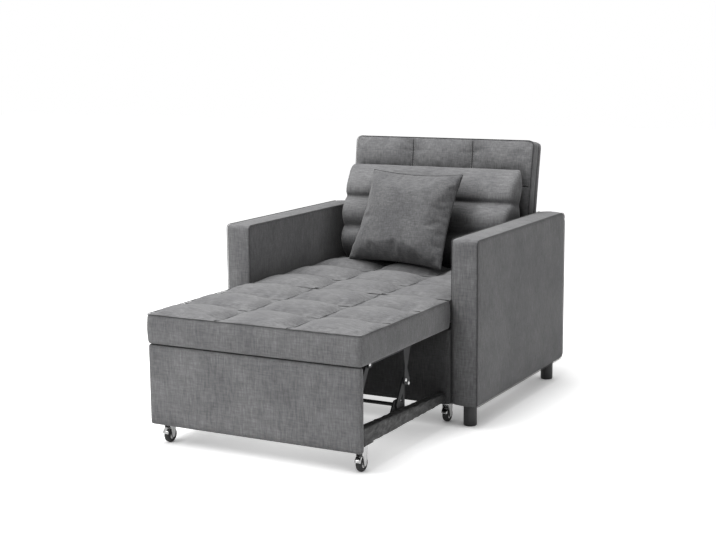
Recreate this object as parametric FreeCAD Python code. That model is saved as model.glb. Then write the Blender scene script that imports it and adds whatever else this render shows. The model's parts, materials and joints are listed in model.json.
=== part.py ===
import FreeCAD, Part
import math
import os

# A convertible chair bed, photographed opened: two upholstered arms on short feet, a fixed seat,
# a front mattress section above a pull-out base on castors, and a back that lies down flat.
# Millimetres. X is to the sitter's left and right, +Y is towards the back, the floor is at Z = 0.
# The measures below are taken from the front plane of the arms; the finished model is moved so
# that its origin is on the floor, in the middle of its width and depth.

# Arms and feet
ARM_INNER = 389.0
ARM_WIDTH = 96.8
ARM_DEPTH = 813.0
ARM_BOTTOM = 76.0
ARM_TOP = 630.0
ARM_CORNER = 28.0
ARM_PADDING = 14.0
ARM_OUTER = ARM_INNER + ARM_WIDTH
ARM_MIDDLE = ARM_INNER + ARM_WIDTH / 2
FRAME_BAR = 42.0
FOOT_RADIUS = 22.5
FOOT_ROWS = (48.5, 764.0)

# Mattress: three sections with sewn tufts, here in the flat bed position
BED_HALF_WIDTH = 386.0
BED_EDGE = 427.0
BED_UNDERSIDE = 333.0
TUFT_CROWN = 16.0
ROW_CROWN = 19.0
TUFT_ROW = 207.0
SEAT_COLUMN_SEAM = 129.0
SEAT_COLUMNS = (-BED_HALF_WIDTH, -SEAT_COLUMN_SEAM, SEAT_COLUMN_SEAM, BED_HALF_WIDTH)
SIDE_DRAW_IN = 3.0
LEAF_FRONT = -622.0
LEAF_BACK = -1.0
LEAF_BOARD = 12.0
SEAT_FRONT = 1.0
SEAT_BACK = 682.0

# Seat frame
RAIL_HEIGHT = 19.0
RAIL_WIDTH = 25.0
SEAT_CUSHION_UNDERSIDE = BED_UNDERSIDE + RAIL_HEIGHT
WEBBING_WIDTH = 50.0
WEBBING_THICKNESS = 2.0
REAR_BEAM_BACK = 790.0

# Back: its pivot, its size from the pivot, and how far it lies down from the photographed place
PIVOT_Y = 734.0
PIVOT_Z = 390.0
RECLINE = 80.8
BACK_HALF_WIDTH = 372.0
BACK_FRONT_FACE = 40.0
BACK_REAR_FACE = 50.0
BACK_PAD_REAR = 15.0
BACK_LOWER_END = 38.0
BACK_UPPER_END = 505.0
BACK_COLUMN_SEAM = 125.0
BACK_COLUMNS = (-BACK_HALF_WIDTH, -BACK_COLUMN_SEAM, BACK_COLUMN_SEAM, BACK_HALF_WIDTH)
BACK_ROWS = (168.0, 335.0)
BACK_CORNER = 40.0
COVER_WALL = 5.0
POST_INNER = 335.0
POST_OUTER = 360.0
FRAME_START = -18.0
FRAME_REAR = 42.0

# Recline hinge, in the gap between back and arm
HINGE_PLATE = 4.0
HINGE_ARM_X = 379.5
HINGE_SECTOR_X = 384.5
HINGE_PIN_RADIUS = 6.0
SECTOR_RADIUS = 34.0
TOOTH_HEIGHT = 4.0
TOOTH_COUNT = 13
TOOTH_FROM = 22.0
TOOTH_TO = 120.0
RUNNING_CLEARANCE = 0.1
OPEN_PIVOT_CLEARANCE = 0.5

# Pull-out base
PANEL_HALF_WIDTH = 381.0
PANEL_FRONT = -620.0
PANEL_BACK = -600.0
PANEL_BOTTOM = 71.0
PANEL_TOP = 331.0
PANEL_PADDING = 5.0
SIDE_RAIL_OUTER = 380.0
SIDE_RAIL_INNER = 346.0
SIDE_RAIL_BOTTOM = 88.0
SIDE_RAIL_FRONT_TOP = 146.0
SIDE_RAIL_REAR_TOP = 120.0
SIDE_RAIL_BACK = 95.0
WALL_FRONT = -18.0
WALL_BACK = -3.0
WALL_BOTTOM = 78.0

# Castors
CASTOR_X = 349.0
CASTOR_ROWS = (-557.0, 59.0)
WHEEL_RADIUS = 25.0
WHEEL_WIDTH = 20.0
AXLE_RADIUS = 3.0
CHEEK_THICKNESS = 2.5
WHEEL_GAP = 1.0

# Lift linkage: two pairs of arms of one length and lean, the top frame, and its stops
ARM_LINK_LENGTH = 83.5
ARM_LINK_LEAN = 31.8
MID_PIVOT = (-317.0, 147.0)
FRONT_PIVOT = (-559.0, 249.0)
LINK_RADIUS = 11.0
BRACKET_X = 341.0
LINK_X = 347.0
TOP_FRAME_X = 353.0
STRIP = 5.0
SHAFT_RADIUS = 6.0
PIN_RADIUS = 4.5
RIVET = (-254.0, 204.0)

# Loose cushions
LUMBAR_HALF_WIDTH = 356.0
PILLOW_LOWER_WIDTH = 423.0
PILLOW_UPPER_WIDTH = 401.0
PILLOW_HEIGHT = 352.0
PILLOW_SKEW = 38.0
PILLOW_THICKNESS = 128.0
PILLOW_CENTRE = (-33.0, 519.0, 614.5)
PILLOW_TURN = -9.5
PILLOW_LEAN = 17.0

# Furthest point back: the upper rear edge of the raised back
LEAN = math.radians(90.0 - RECLINE)
BACK_REACH = PIVOT_Y + BACK_UPPER_END * math.sin(LEAN) + BACK_REAR_FACE * math.cos(LEAN)
DEPTH_MIDDLE = (LEAF_FRONT + BACK_REACH) / 2


# Small helpers for boxes, rods and outlines

def box(x, y, z):
    """A box between two values on each axis, each given as (low, high)."""
    shape = Part.makeBox(x[1] - x[0], y[1] - y[0], z[1] - z[0])
    shape.translate(FreeCAD.Vector(x[0], y[0], z[0]))
    return shape


def rod(x, y, z, radius):
    """A round rod along X, from x[0] to x[1]."""
    return Part.makeCylinder(radius, x[1] - x[0], FreeCAD.Vector(x[0], y, z), FreeCAD.Vector(1, 0, 0))


def post(x, y, z, radius):
    """A round rod along Z, from z[0] to z[1]."""
    return Part.makeCylinder(radius, z[1] - z[0], FreeCAD.Vector(x, y, z[0]), FreeCAD.Vector(0, 0, 1))


def place(plane, across, up, level):
    """A point of an outline: across and up lie in the plane, level is the distance from it."""
    if plane == "xy":
        return FreeCAD.Vector(across, up, level)
    if plane == "xz":
        return FreeCAD.Vector(across, level, up)
    return FreeCAD.Vector(level, across, up)


DIRECTION = {"xy": FreeCAD.Vector(0, 0, 1), "xz": FreeCAD.Vector(0, 1, 0), "yz": FreeCAD.Vector(1, 0, 0)}


def prism(plane, steps, low, high, slant=0.0):
    """Extrude an outline from level low to high; slant moves the far end across.

    The first step is the starting point. Each further step is the next corner, (across, up), or
    an arc to the next corner through a middle point, (middle across, middle up, across, up).
    """
    edges = []
    here = place(plane, steps[0][0], steps[0][1], low)
    for step in steps[1:] + [steps[0]]:
        there = place(plane, step[-2], step[-1], low)
        if len(step) == 4:
            middle = place(plane, step[0], step[1], low)
            edges.append(Part.Arc(here, middle, there).toShape())
        elif here.distanceToPoint(there) > 1e-6:
            edges.append(Part.LineSegment(here, there).toShape())
        here = there
    face = Part.Face(Part.Wire(edges))
    return face.extrude(DIRECTION[plane] * (high - low) + place(plane, slant, 0, 0))


def rounded(corners):
    """Steps of a closed outline whose corners are (across, up, radius)."""
    steps = []
    count = len(corners)
    for index in range(count):
        before = corners[index - 1]
        here = corners[index]
        after = corners[(index + 1) % count]
        radius = here[2]
        if radius == 0:
            steps.append((here[0], here[1]))
            continue
        back = unit(before[0] - here[0], before[1] - here[1])
        ahead = unit(after[0] - here[0], after[1] - here[1])
        half = math.acos(back[0] * ahead[0] + back[1] * ahead[1]) / 2
        run = radius / math.tan(half)
        inward = unit(back[0] + ahead[0], back[1] + ahead[1])
        depth = radius / math.sin(half) - radius
        steps.append((here[0] + back[0] * run, here[1] + back[1] * run))
        steps.append((here[0] + inward[0] * depth, here[1] + inward[1] * depth,
                      here[0] + ahead[0] * run, here[1] + ahead[1] * run))
    return steps


def unit(across, up):
    length = math.hypot(across, up)
    return across / length, up / length


def scallops(edges, level, crown):
    """Steps of a row of arcs, from edge to edge, that rise by crown above the level."""
    steps = []
    for start, end in zip(edges[:-1], edges[1:]):
        steps.append(((start + end) / 2, level + crown, end, level))
    return steps


def strap(start, end, start_radius, end_radius, x):
    """A flat link with round ends: two circles and their outer tangents, x thick."""
    run = math.hypot(end[0] - start[0], end[1] - start[1])
    heading = math.atan2(end[1] - start[1], end[0] - start[0])
    slope = math.acos((start_radius - end_radius) / run)
    steps = []
    ends = ((start, start_radius, slope, math.pi), (end, end_radius, -slope, 0.0))
    for centre, radius, turn, full in ends:
        first = heading + turn
        last = heading - turn
        middle = heading + full
        steps.append((centre[0] + radius * math.cos(first), centre[1] + radius * math.sin(first)))
        steps.append((centre[0] + radius * math.cos(middle), centre[1] + radius * math.sin(middle),
                      centre[0] + radius * math.cos(last), centre[1] + radius * math.sin(last)))
    return prism("yz", steps, x[0], x[1])


def mirrored(shape):
    return shape.mirror(FreeCAD.Vector(0, 0, 0), FreeCAD.Vector(1, 0, 0))


def raised(shape):
    """Turn a piece of the back from the flat bed position to the photographed lean."""
    turned = shape.copy()
    turned.rotate(FreeCAD.Vector(0, PIVOT_Y, PIVOT_Z), FreeCAD.Vector(1, 0, 0), RECLINE)
    return turned


# Mattress sections and cushions

def tufted_pad(columns, side, reach, heights):
    """A pad with sewn tufts: what a crossways row of arcs and a side profile have in common.

    The side profile's arcs rise a little more, so that each tuft's middle is one smooth vault.
    The columns are the lengthways seams, reach is (low Y, high Y), heights are (underside, edge).
    """
    half = columns[-1]
    under, edge = heights
    across = [(-half, under), (-half, edge)] + scallops(columns, edge, TUFT_CROWN) + [(half, under)]
    return prism("xz", across, reach[0], reach[1]).common(prism("yz", side, -half - 10, half + 10))


def pad_plan(half, low_y, high_y, near_radius, far_radius):
    """Plan outline of a pad: rounded corners, and long sides that are drawn in a little."""
    middle = (low_y + high_y) / 2
    inner = half - SIDE_DRAW_IN
    near = near_radius
    far = far_radius
    diagonal = 1 - math.sqrt(0.5)
    steps = [(-half + near, low_y), (half - near, low_y)]
    steps.append((half - near * diagonal, low_y + near * diagonal, half, low_y + near))
    steps.append((inner, middle, half, high_y - far))
    steps.append((half - far * diagonal, high_y - far * diagonal, half - far, high_y))
    steps.append((-half + far, high_y))
    steps.append((-half + far * diagonal, high_y - far * diagonal, -half, high_y - far))
    steps.append((-inner, middle, -half, low_y + near))
    steps.append((-half + near * diagonal, low_y + near * diagonal, -half + near, low_y))
    return steps


def leaf_cushion():
    rows = [LEAF_FRONT, LEAF_FRONT + TUFT_ROW, LEAF_FRONT + 2 * TUFT_ROW, LEAF_BACK]
    side = [(LEAF_FRONT, BED_EDGE)] + scallops(rows, BED_EDGE, ROW_CROWN)
    side += [(LEAF_BACK, BED_UNDERSIDE), (LEAF_FRONT + 20, BED_UNDERSIDE)]
    side += [(LEAF_FRONT + 6, BED_UNDERSIDE + 6, LEAF_FRONT, BED_UNDERSIDE + 20)]
    shape = tufted_pad(SEAT_COLUMNS, side, (LEAF_FRONT, LEAF_BACK), (BED_UNDERSIDE, BED_EDGE))
    return shape.cut(leaf_board()).cut(leaf_corner()).cut(mirrored(leaf_corner()))


def leaf_corner():
    """What is cut from a front corner of the front section to round it."""
    radius = 20.0
    inset = 0.9 * radius
    middle_x = BED_HALF_WIDTH - inset
    middle_y = LEAF_FRONT + inset
    heights = (BED_UNDERSIDE - 1, BED_EDGE + TUFT_CROWN)
    corner = box((middle_x, BED_HALF_WIDTH + 1), (LEAF_FRONT - 1, middle_y), heights)
    return corner.cut(post(middle_x, middle_y, heights, radius))


def leaf_board():
    return box((-366, 366), (LEAF_FRONT + 20, LEAF_BACK - 20), (BED_UNDERSIDE, BED_UNDERSIDE + LEAF_BOARD))


def seat_cushion():
    rows = [SEAT_FRONT, TUFT_ROW, 2 * TUFT_ROW, 3 * TUFT_ROW, SEAT_BACK]
    side = [(SEAT_FRONT, BED_EDGE)] + scallops(rows[:4], BED_EDGE, ROW_CROWN)
    side += scallops(rows[3:], BED_EDGE, TUFT_CROWN / 8)
    side += [(SEAT_BACK, SEAT_CUSHION_UNDERSIDE), (SEAT_FRONT, SEAT_CUSHION_UNDERSIDE)]
    return tufted_pad(SEAT_COLUMNS, side, (SEAT_FRONT, SEAT_BACK), (SEAT_CUSHION_UNDERSIDE, BED_EDGE))


def back_plan(inset):
    low_y = PIVOT_Y - BACK_LOWER_END + inset
    high_y = PIVOT_Y + BACK_UPPER_END - inset
    return pad_plan(BACK_HALF_WIDTH - inset, low_y, high_y, 6.0, BACK_CORNER - inset)


def backrest_cushion():
    low_y = PIVOT_Y - BACK_LOWER_END
    high_y = PIVOT_Y + BACK_UPPER_END
    top = PIVOT_Z + BACK_FRONT_FACE
    under = PIVOT_Z - BACK_PAD_REAR
    rows = [low_y + 20, PIVOT_Y + BACK_ROWS[0], PIVOT_Y + BACK_ROWS[1], high_y]
    side = [(low_y, under), (low_y, top - 20), (low_y + 6, top - 6, low_y + 20, top)]
    side += scallops(rows, top, ROW_CROWN)
    side += [(high_y, under)]
    shape = tufted_pad(BACK_COLUMNS, side, (low_y, high_y), (under, top))
    return raised(shape.common(prism("xy", back_plan(0), under, top + 2 * TUFT_CROWN)))


def lumbar_cushion():
    """Three sewn channels; built lying on the flat back, then raised with it."""
    seams = [PIVOT_Y + 26.5, PIVOT_Y + 150, PIVOT_Y + 262, PIVOT_Y + 388]
    rear = PIVOT_Z + 58
    side = [(seams[0], PIVOT_Z + 150), (seams[0] + 64, PIVOT_Z + 178, seams[1], PIVOT_Z + 160),
            (seams[1] + 56, PIVOT_Z + 175, seams[2], PIVOT_Z + 152),
            (seams[2] + 76, PIVOT_Z + 148, seams[3], PIVOT_Z + 92),
            (seams[3] - 38, rear + 5, seams[3] - 88, rear), (seams[0] + 56, rear),
            (seams[0] + 26, rear + 5, seams[0] + 12, rear + 17)]
    half = LUMBAR_HALF_WIDTH
    tuck = 8.0
    plan = [(-half + tuck, seams[0]), (half - tuck, seams[0])]
    for start, end in zip(seams[:-1], seams[1:]):
        plan.append((half, (start + end) / 2, half - tuck, end))
    plan.append((-half + tuck, seams[3]))
    for start, end in zip(seams[:0:-1], seams[-2::-1]):
        plan.append((-half, (start + end) / 2, -half + tuck, end))
    top = PIVOT_Z + 180
    ends = [(-half + 46, rear), (half - 46, rear), (half - 14, rear + 8, half, rear + 34),
            (half, rear + 62), (half - 14, top - 22, half - 62, top), (-half + 62, top),
            (-half + 14, top - 22, -half, rear + 62), (-half, rear + 34),
            (-half + 14, rear + 8, -half + 46, rear)]
    shape = prism("yz", side, -half, half)
    shape = shape.common(prism("xy", plan, rear, top))
    return raised(shape.common(prism("xz", ends, seams[0], seams[3])))


def throw_pillow():
    """A plain knife-edge pillow: pointed corners, edges drawn in between them, a full middle.

    It sits askew: its upper edge is shifted along its lower one, and it leans on the lumbar cushion.
    """
    low = PILLOW_LOWER_WIDTH / 2
    high = PILLOW_UPPER_WIDTH / 2
    shift = PILLOW_SKEW / 2
    height = PILLOW_HEIGHT / 2
    full = PILLOW_THICKNESS / 2
    edge = 5.0
    draw_in = 14.0
    outline = [(-low - shift, -height), (-shift, -height + draw_in, low - shift, -height),
               (low - draw_in, 0, high + shift, height), (shift, height - draw_in, -high + shift, height),
               (-low + draw_in, 0, -low - shift, -height)]
    past = 6.0
    level = [(-low - shift - past, -edge), (-shift, -full, low - shift + past, -edge),
             (low - shift + past, edge), (-shift, full, -low - shift - past, edge)]
    fuller = full + 4.0
    upright = [(-edge, -height), (edge, -height), (fuller, 0, edge, height), (-edge, height),
               (-fuller, 0, -edge, -height)]
    shape = prism("xz", outline, -2 * full, 2 * full)
    shape = shape.common(prism("yz", upright, -2 * low, 2 * low))
    shape = shape.common(prism("xy", level, -height * 1.05, height * 1.05, PILLOW_SKEW * 1.05))
    middle = FreeCAD.Vector(0, 0, 0)
    shape.rotate(middle, FreeCAD.Vector(1, 0, 0), -PILLOW_LEAN)
    shape.rotate(middle, FreeCAD.Vector(0, 0, 1), PILLOW_TURN)
    shape.translate(FreeCAD.Vector(*PILLOW_CENTRE))
    return shape


# Arms: padded cover round a timber frame, on two feet

def arm_outline(inset):
    soft = ARM_CORNER - inset
    low = ARM_BOTTOM + inset
    high = ARM_TOP - inset
    near = inset
    far = ARM_DEPTH - inset
    return rounded([(near, low, 6.0), (near, high, soft), (far, high, soft), (far, low, soft)])


def arm_cover():
    outer = prism("yz", arm_outline(0), ARM_INNER, ARM_OUTER)
    hollow = prism("yz", arm_outline(ARM_PADDING), ARM_INNER + ARM_PADDING, ARM_OUTER - ARM_PADDING)
    return outer.cut(hollow)


def arm_frame():
    """Timber frame: two posts, a top and a bottom rail, and the rail that the seat is bolted to."""
    x = (ARM_INNER + ARM_PADDING, ARM_OUTER - ARM_PADDING)
    near = ARM_PADDING
    far = ARM_DEPTH - ARM_PADDING
    low = ARM_BOTTOM + ARM_PADDING
    high = ARM_TOP - ARM_PADDING
    solid = prism("yz", arm_outline(ARM_PADDING), x[0], x[1])
    seat_rail = (BED_UNDERSIDE - 12, BED_UNDERSIDE + RAIL_HEIGHT + 12)
    lower_bay = box(x, (near + FRAME_BAR, far - FRAME_BAR), (low + FRAME_BAR, seat_rail[0]))
    upper_bay = box(x, (near + FRAME_BAR, far - FRAME_BAR), (seat_rail[1], high - FRAME_BAR))
    return solid.cut(lower_bay).cut(upper_bay)


def foot(y):
    return post(ARM_MIDDLE, y, (0, ARM_BOTTOM), FOOT_RADIUS)


# Seat frame between the arms

def seat_side_rail():
    heights = (BED_UNDERSIDE, SEAT_CUSHION_UNDERSIDE)
    return box((ARM_INNER - RAIL_WIDTH, ARM_INNER), (SEAT_FRONT + 4, SEAT_BACK), heights)


def seat_cross_rails():
    half = ARM_INNER - RAIL_WIDTH
    bars = []
    for y in (SEAT_FRONT + 4, SEAT_BACK - RAIL_WIDTH):
        bars.append(box((-half, half), (y, y + RAIL_WIDTH), (BED_UNDERSIDE, SEAT_CUSHION_UNDERSIDE)))
    return Part.makeCompound(bars)


def seat_webbing():
    """Straps stretched between the rails, lengthways ones over the crossways ones."""
    half = ARM_INNER - RAIL_WIDTH
    near = SEAT_FRONT + 4 + RAIL_WIDTH
    far = SEAT_BACK - RAIL_WIDTH
    upper = (SEAT_CUSHION_UNDERSIDE - WEBBING_THICKNESS, SEAT_CUSHION_UNDERSIDE)
    lower = (upper[0] - WEBBING_THICKNESS, upper[0])
    straps = []
    for x in (-270, -135, 0, 135, 270):
        straps.append(box((x - WEBBING_WIDTH / 2, x + WEBBING_WIDTH / 2), (near, far), upper))
    for y in (60, 180, 260, 340, 420, 480, 580):
        straps.append(box((-half, half), (y, y + WEBBING_WIDTH), lower))
    return Part.makeCompound(straps)


def rear_panel():
    """Covered board that closes the base at the back, below the reclined back's way."""
    return box((-ARM_INNER, ARM_INNER), (REAR_BEAM_BACK, REAR_BEAM_BACK + 16), (84, 326))


def rear_beam():
    return box((-ARM_INNER, ARM_INNER), (REAR_BEAM_BACK - 24, REAR_BEAM_BACK), (96, 150))


# Back: frame, tray-shaped rear cover

def hinge_spacer():
    """Block between the back's frame and the hinge arm, through the side of the rear cover."""
    return box((POST_OUTER, HINGE_ARM_X), (PIVOT_Y + 65, PIVOT_Y + 130), (PIVOT_Z - 36, PIVOT_Z - 24))


def backrest_rear_cover():
    """Tray over the back's frame, with a rounded lower end."""
    low_z = PIVOT_Z - BACK_REAR_FACE
    high_z = PIVOT_Z - BACK_PAD_REAR
    low_y = PIVOT_Y - BACK_LOWER_END
    shape = prism("xy", back_plan(0), low_z, high_z)
    shape = shape.cut(prism("xy", back_plan(COVER_WALL), low_z + COVER_WALL, high_z))
    near_edge = box((-400, 400), (low_y - 1, low_y + 12), (low_z - 1, low_z + 12))
    rounding = rod((-400, 400), low_y + 12, low_z + 12, 12.0)
    shape = shape.cut(near_edge.cut(rounding))
    return raised(shape.cut(hinge_spacer()).cut(mirrored(hinge_spacer())))


def backrest_post():
    along = (PIVOT_Y + FRAME_START, PIVOT_Y + BACK_UPPER_END - 30)
    return raised(box((POST_INNER, POST_OUTER), along, (PIVOT_Z - FRAME_REAR, PIVOT_Z - BACK_PAD_REAR)))


def backrest_rails():
    bars = []
    heights = (PIVOT_Z - FRAME_REAR, PIVOT_Z - BACK_PAD_REAR)
    for y in (PIVOT_Y + FRAME_START, PIVOT_Y + 240, PIVOT_Y + BACK_UPPER_END - 30 - RAIL_WIDTH):
        bars.append(box((-POST_INNER, POST_INNER), (y, y + RAIL_WIDTH), heights))
    return raised(Part.makeCompound(bars))


# Recline hinge: a toothed sector on the arm, and the arm plate with its pawl on the back

def tooth_ring(x):
    """The toothed edge of the sector, from TOOTH_FROM to TOOTH_TO degrees round the pivot."""
    pitch = (TOOTH_TO - TOOTH_FROM) / TOOTH_COUNT
    steps = [(PIVOT_Y, PIVOT_Z)]
    for index in range(TOOTH_COUNT):
        start = TOOTH_FROM + index * pitch
        for angle, radius in ((start, SECTOR_RADIUS), (start + 0.75 * pitch, SECTOR_RADIUS + TOOTH_HEIGHT)):
            turn = math.radians(angle)
            steps.append((PIVOT_Y + radius * math.cos(turn), PIVOT_Z + radius * math.sin(turn)))
    last = math.radians(TOOTH_TO)
    steps.append((PIVOT_Y + SECTOR_RADIUS * math.cos(last), PIVOT_Z + SECTOR_RADIUS * math.sin(last)))
    return prism("yz", steps, x[0], x[1])


def hinge_sector():
    x = (HINGE_SECTOR_X, ARM_INNER)
    plate = strap((PIVOT_Y, PIVOT_Z), (PIVOT_Y, PIVOT_Z - 80), 30.0, 18.0, x)
    shape = plate.fuse(tooth_ring(x))
    pin = rod((HINGE_ARM_X - 3.0, ARM_INNER), PIVOT_Y, PIVOT_Z, HINGE_PIN_RADIUS)
    head = rod((HINGE_ARM_X - 3.5, HINGE_ARM_X - 0.5), PIVOT_Y, PIVOT_Z, 10.0)
    return shape.fuse([pin, head]).removeSplitter()


def hinge_arm():
    """The plate on the back: a tapered strap, the pawl that rides over the teeth, a spacer."""
    x = (HINGE_ARM_X, HINGE_ARM_X + HINGE_PLATE)
    plate = strap((PIVOT_Y, PIVOT_Z), (PIVOT_Y + 135, PIVOT_Z - 30), 20.0, 14.0, x)
    pawl_turn = math.radians(30.0)
    tip = SECTOR_RADIUS + TOOTH_HEIGHT + 0.8
    tip_point = (PIVOT_Y + (tip + 4) * math.cos(pawl_turn), PIVOT_Z + (tip + 4) * math.sin(pawl_turn))
    root_point = (PIVOT_Y + 62, PIVOT_Z - 6)
    pawl = strap(root_point, tip_point, 7.0, 4.0, (HINGE_ARM_X + HINGE_PLATE, HINGE_SECTOR_X + 3.0))
    carrier = strap((PIVOT_Y + 40, PIVOT_Z - 9), root_point, 10.0, 9.0, x)
    bore = rod((x[0] - 1, x[1] + 1), PIVOT_Y, PIVOT_Z, HINGE_PIN_RADIUS + RUNNING_CLEARANCE)
    shape = plate.fuse([carrier, pawl, hinge_spacer()])
    return raised(shape.removeSplitter().cut(bore))


# Pull-out base

def front_panel_board():
    half = PANEL_HALF_WIDTH - PANEL_PADDING
    heights = (PANEL_BOTTOM + PANEL_PADDING, PANEL_TOP - PANEL_PADDING)
    return box((-half, half), (PANEL_FRONT + PANEL_PADDING, PANEL_BACK), heights)


def front_panel_cover():
    """Padded fabric round the front, the ends and the edges of the board, open at the back."""
    outer = prism("xy", rounded([(-PANEL_HALF_WIDTH, PANEL_FRONT, 9), (PANEL_HALF_WIDTH, PANEL_FRONT, 9),
                                 (PANEL_HALF_WIDTH, PANEL_BACK, 0), (-PANEL_HALF_WIDTH, PANEL_BACK, 0)]),
                  PANEL_BOTTOM, PANEL_TOP)
    return outer.cut(front_panel_board())


def side_rail():
    """Tapered plank, high at the front panel and low behind the drawer's rear wall."""
    steps = [(PANEL_BACK, SIDE_RAIL_BOTTOM), (PANEL_BACK, SIDE_RAIL_FRONT_TOP),
             (WALL_FRONT, SIDE_RAIL_REAR_TOP), (SIDE_RAIL_BACK, SIDE_RAIL_REAR_TOP),
             (SIDE_RAIL_BACK, SIDE_RAIL_BOTTOM)]
    return prism("yz", steps, SIDE_RAIL_INNER, SIDE_RAIL_OUTER)


def drawer_wall():
    plate = box((-SIDE_RAIL_OUTER, SIDE_RAIL_OUTER), (WALL_FRONT, WALL_BACK), (WALL_BOTTOM, PANEL_TOP))
    return plate.cut(side_rail()).cut(mirrored(side_rail()))


def drawer_cross_bar():
    heights = (SIDE_RAIL_BOTTOM, SIDE_RAIL_REAR_TOP)
    return box((-SIDE_RAIL_INNER, SIDE_RAIL_INNER), (SIDE_RAIL_BACK - 22, SIDE_RAIL_BACK), heights)


def castor_bracket(y):
    """Bent steel fork: top plate, two tapered cheeks and the axle riveted between them."""
    outer = CASTOR_X + WHEEL_WIDTH / 2 + WHEEL_GAP
    inner = CASTOR_X - WHEEL_WIDTH / 2 - WHEEL_GAP
    plate_low = SIDE_RAIL_BOTTOM - CHEEK_THICKNESS
    plate = box((inner - CHEEK_THICKNESS, 377), (y - 28, y + 28), (plate_low, SIDE_RAIL_BOTTOM))
    shape = plate
    for x in ((inner - CHEEK_THICKNESS, inner), (outer, outer + CHEEK_THICKNESS)):
        steps = [(y - 20, plate_low), (y + 20, plate_low), (y + 8, WHEEL_RADIUS),
                 (y, WHEEL_RADIUS - 8, y - 8, WHEEL_RADIUS)]
        shape = shape.fuse(prism("yz", steps, x[0], x[1]))
    axle = rod((inner - CHEEK_THICKNESS, outer + CHEEK_THICKNESS), y, WHEEL_RADIUS, AXLE_RADIUS)
    return shape.fuse(axle).removeSplitter()


def castor_wheel(y):
    """Black tyre and plated hub in one, with the axle's bore."""
    x = (CASTOR_X - WHEEL_WIDTH / 2, CASTOR_X + WHEEL_WIDTH / 2)
    bore = rod((x[0] - 1, x[1] + 1), y, WHEEL_RADIUS, AXLE_RADIUS + RUNNING_CLEARANCE)
    return rod(x, y, WHEEL_RADIUS, WHEEL_RADIUS).cut(bore)


# Lift linkage that carries the front mattress section

def link_top(pivot):
    """The upper pivot of a lift arm that starts at the given lower pivot."""
    lean = math.radians(ARM_LINK_LEAN)
    return pivot[0] + ARM_LINK_LENGTH * math.sin(lean), pivot[1] + ARM_LINK_LENGTH * math.cos(lean)


def lift_arms(pivot, clearance):
    """A pair of arms welded to the shaft that runs in the brackets, with the upper pins' bores."""
    top = link_top(pivot)
    x = (LINK_X, LINK_X + STRIP)
    arm = strap(pivot, top, LINK_RADIUS, LINK_RADIUS - 1, x)
    arm = arm.cut(rod((x[0] - 1, x[1] + 1), top[0], top[1], PIN_RADIUS + clearance))
    shaft = rod((-x[0], x[0]), pivot[0], pivot[1], SHAFT_RADIUS)
    return shaft.fuse([arm, mirrored(arm)])


def front_bracket():
    """Angle bracket behind the front panel, with the bore of the front shaft."""
    x = (BRACKET_X, BRACKET_X + STRIP)
    y, z = FRONT_PIVOT
    steps = [(PANEL_BACK, z - 30), (y + 14, z - 12), (y + 14, z + 12), (PANEL_BACK, z + 30)]
    web = prism("yz", steps, x[0], x[1])
    foot_plate = box((BRACKET_X - 26, BRACKET_X), (PANEL_BACK, PANEL_BACK + 3), (z - 28, z + 28))
    bore = rod((x[0] - 1, x[1] + 1), y, z, SHAFT_RADIUS + RUNNING_CLEARANCE)
    return web.fuse(foot_plate).removeSplitter().cut(bore)


def mid_bracket():
    """Plate on the side rail: the bore of the middle shaft, and the prop that the rivet leans on."""
    x = (BRACKET_X, BRACKET_X + STRIP)
    y, z = MID_PIVOT
    prop = RIVET[0] - PIN_RADIUS - 0.3
    steps = rounded([(y - 40, 96, 0), (y - 40, 126, 0), (y - 14, z + 16, 12), (y + 16, z + 16, 12),
                     (prop - 16, z - 4, 0), (prop - 14, RIVET[1] + 8, 0), (prop, RIVET[1] + 8, 0),
                     (prop, 96, 0)])
    bore = rod((x[0] - 1, x[1] + 1), y, z, SHAFT_RADIUS + RUNNING_CLEARANCE)
    return prism("yz", steps, x[0], x[1]).cut(bore)


def lift_pins_at():
    """Places of the pins in each side bar: middle knuckle, front knuckle and the rivet."""
    return link_top(MID_PIVOT), link_top(FRONT_PIVOT), RIVET


def lift_side_bar():
    """Flat bar under the mattress, its hanger down to the knuckle and the rivet, and their pins."""
    x = (TOP_FRAME_X, TOP_FRAME_X + STRIP)
    knuckle, front, rivet = lift_pins_at()
    top = 331.0
    under = 318.0
    y, z = knuckle
    bar = prism("yz", rounded([(front[0] - 11, top, 0), (front[0] - 11, front[1] - 11, 9),
                               (front[0] + 12, front[1] - 11, 9), (front[0] + 16, under, 0),
                               (y - 16, under, 0), (y - 8, z + 50, 0), (y - 12, z - 11, 10),
                               (rivet[0] + 9, rivet[1] - 9, 8), (rivet[0] + 7, rivet[1] + 14, 0),
                               (y + 9, z + 40, 0), (y + 32, under, 0), (y + 40, under, 0),
                               (y + 40, top, 0)]), x[0], x[1])
    pins = []
    for pin in lift_pins_at():
        inner = BRACKET_X if pin == RIVET else LINK_X - 0.6
        pins.append(rod((inner, x[1] - STRIP / 2), pin[0], pin[1], PIN_RADIUS))
    return bar.fuse(pins).removeSplitter()


def lift_cross_bars():
    bars = []
    for y in (link_top(FRONT_PIVOT)[0] + 34, link_top(MID_PIVOT)[0] + 12):
        bars.append(box((-TOP_FRAME_X, TOP_FRAME_X), (y - 6, y + 6), (319, 331)))
    return Part.makeCompound(bars)


def sides(nodes, name, shape):
    """Enter a piece and its mirror image; right is the side with positive X."""
    nodes[name + "_right"] = shape
    nodes[name + "_left"] = mirrored(shape)


def pairs(*shapes):
    """Pieces and their mirror images, all of one kind, for a single node."""
    return Part.makeCompound([each for shape in shapes for each in (shape, mirrored(shape))])


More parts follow.
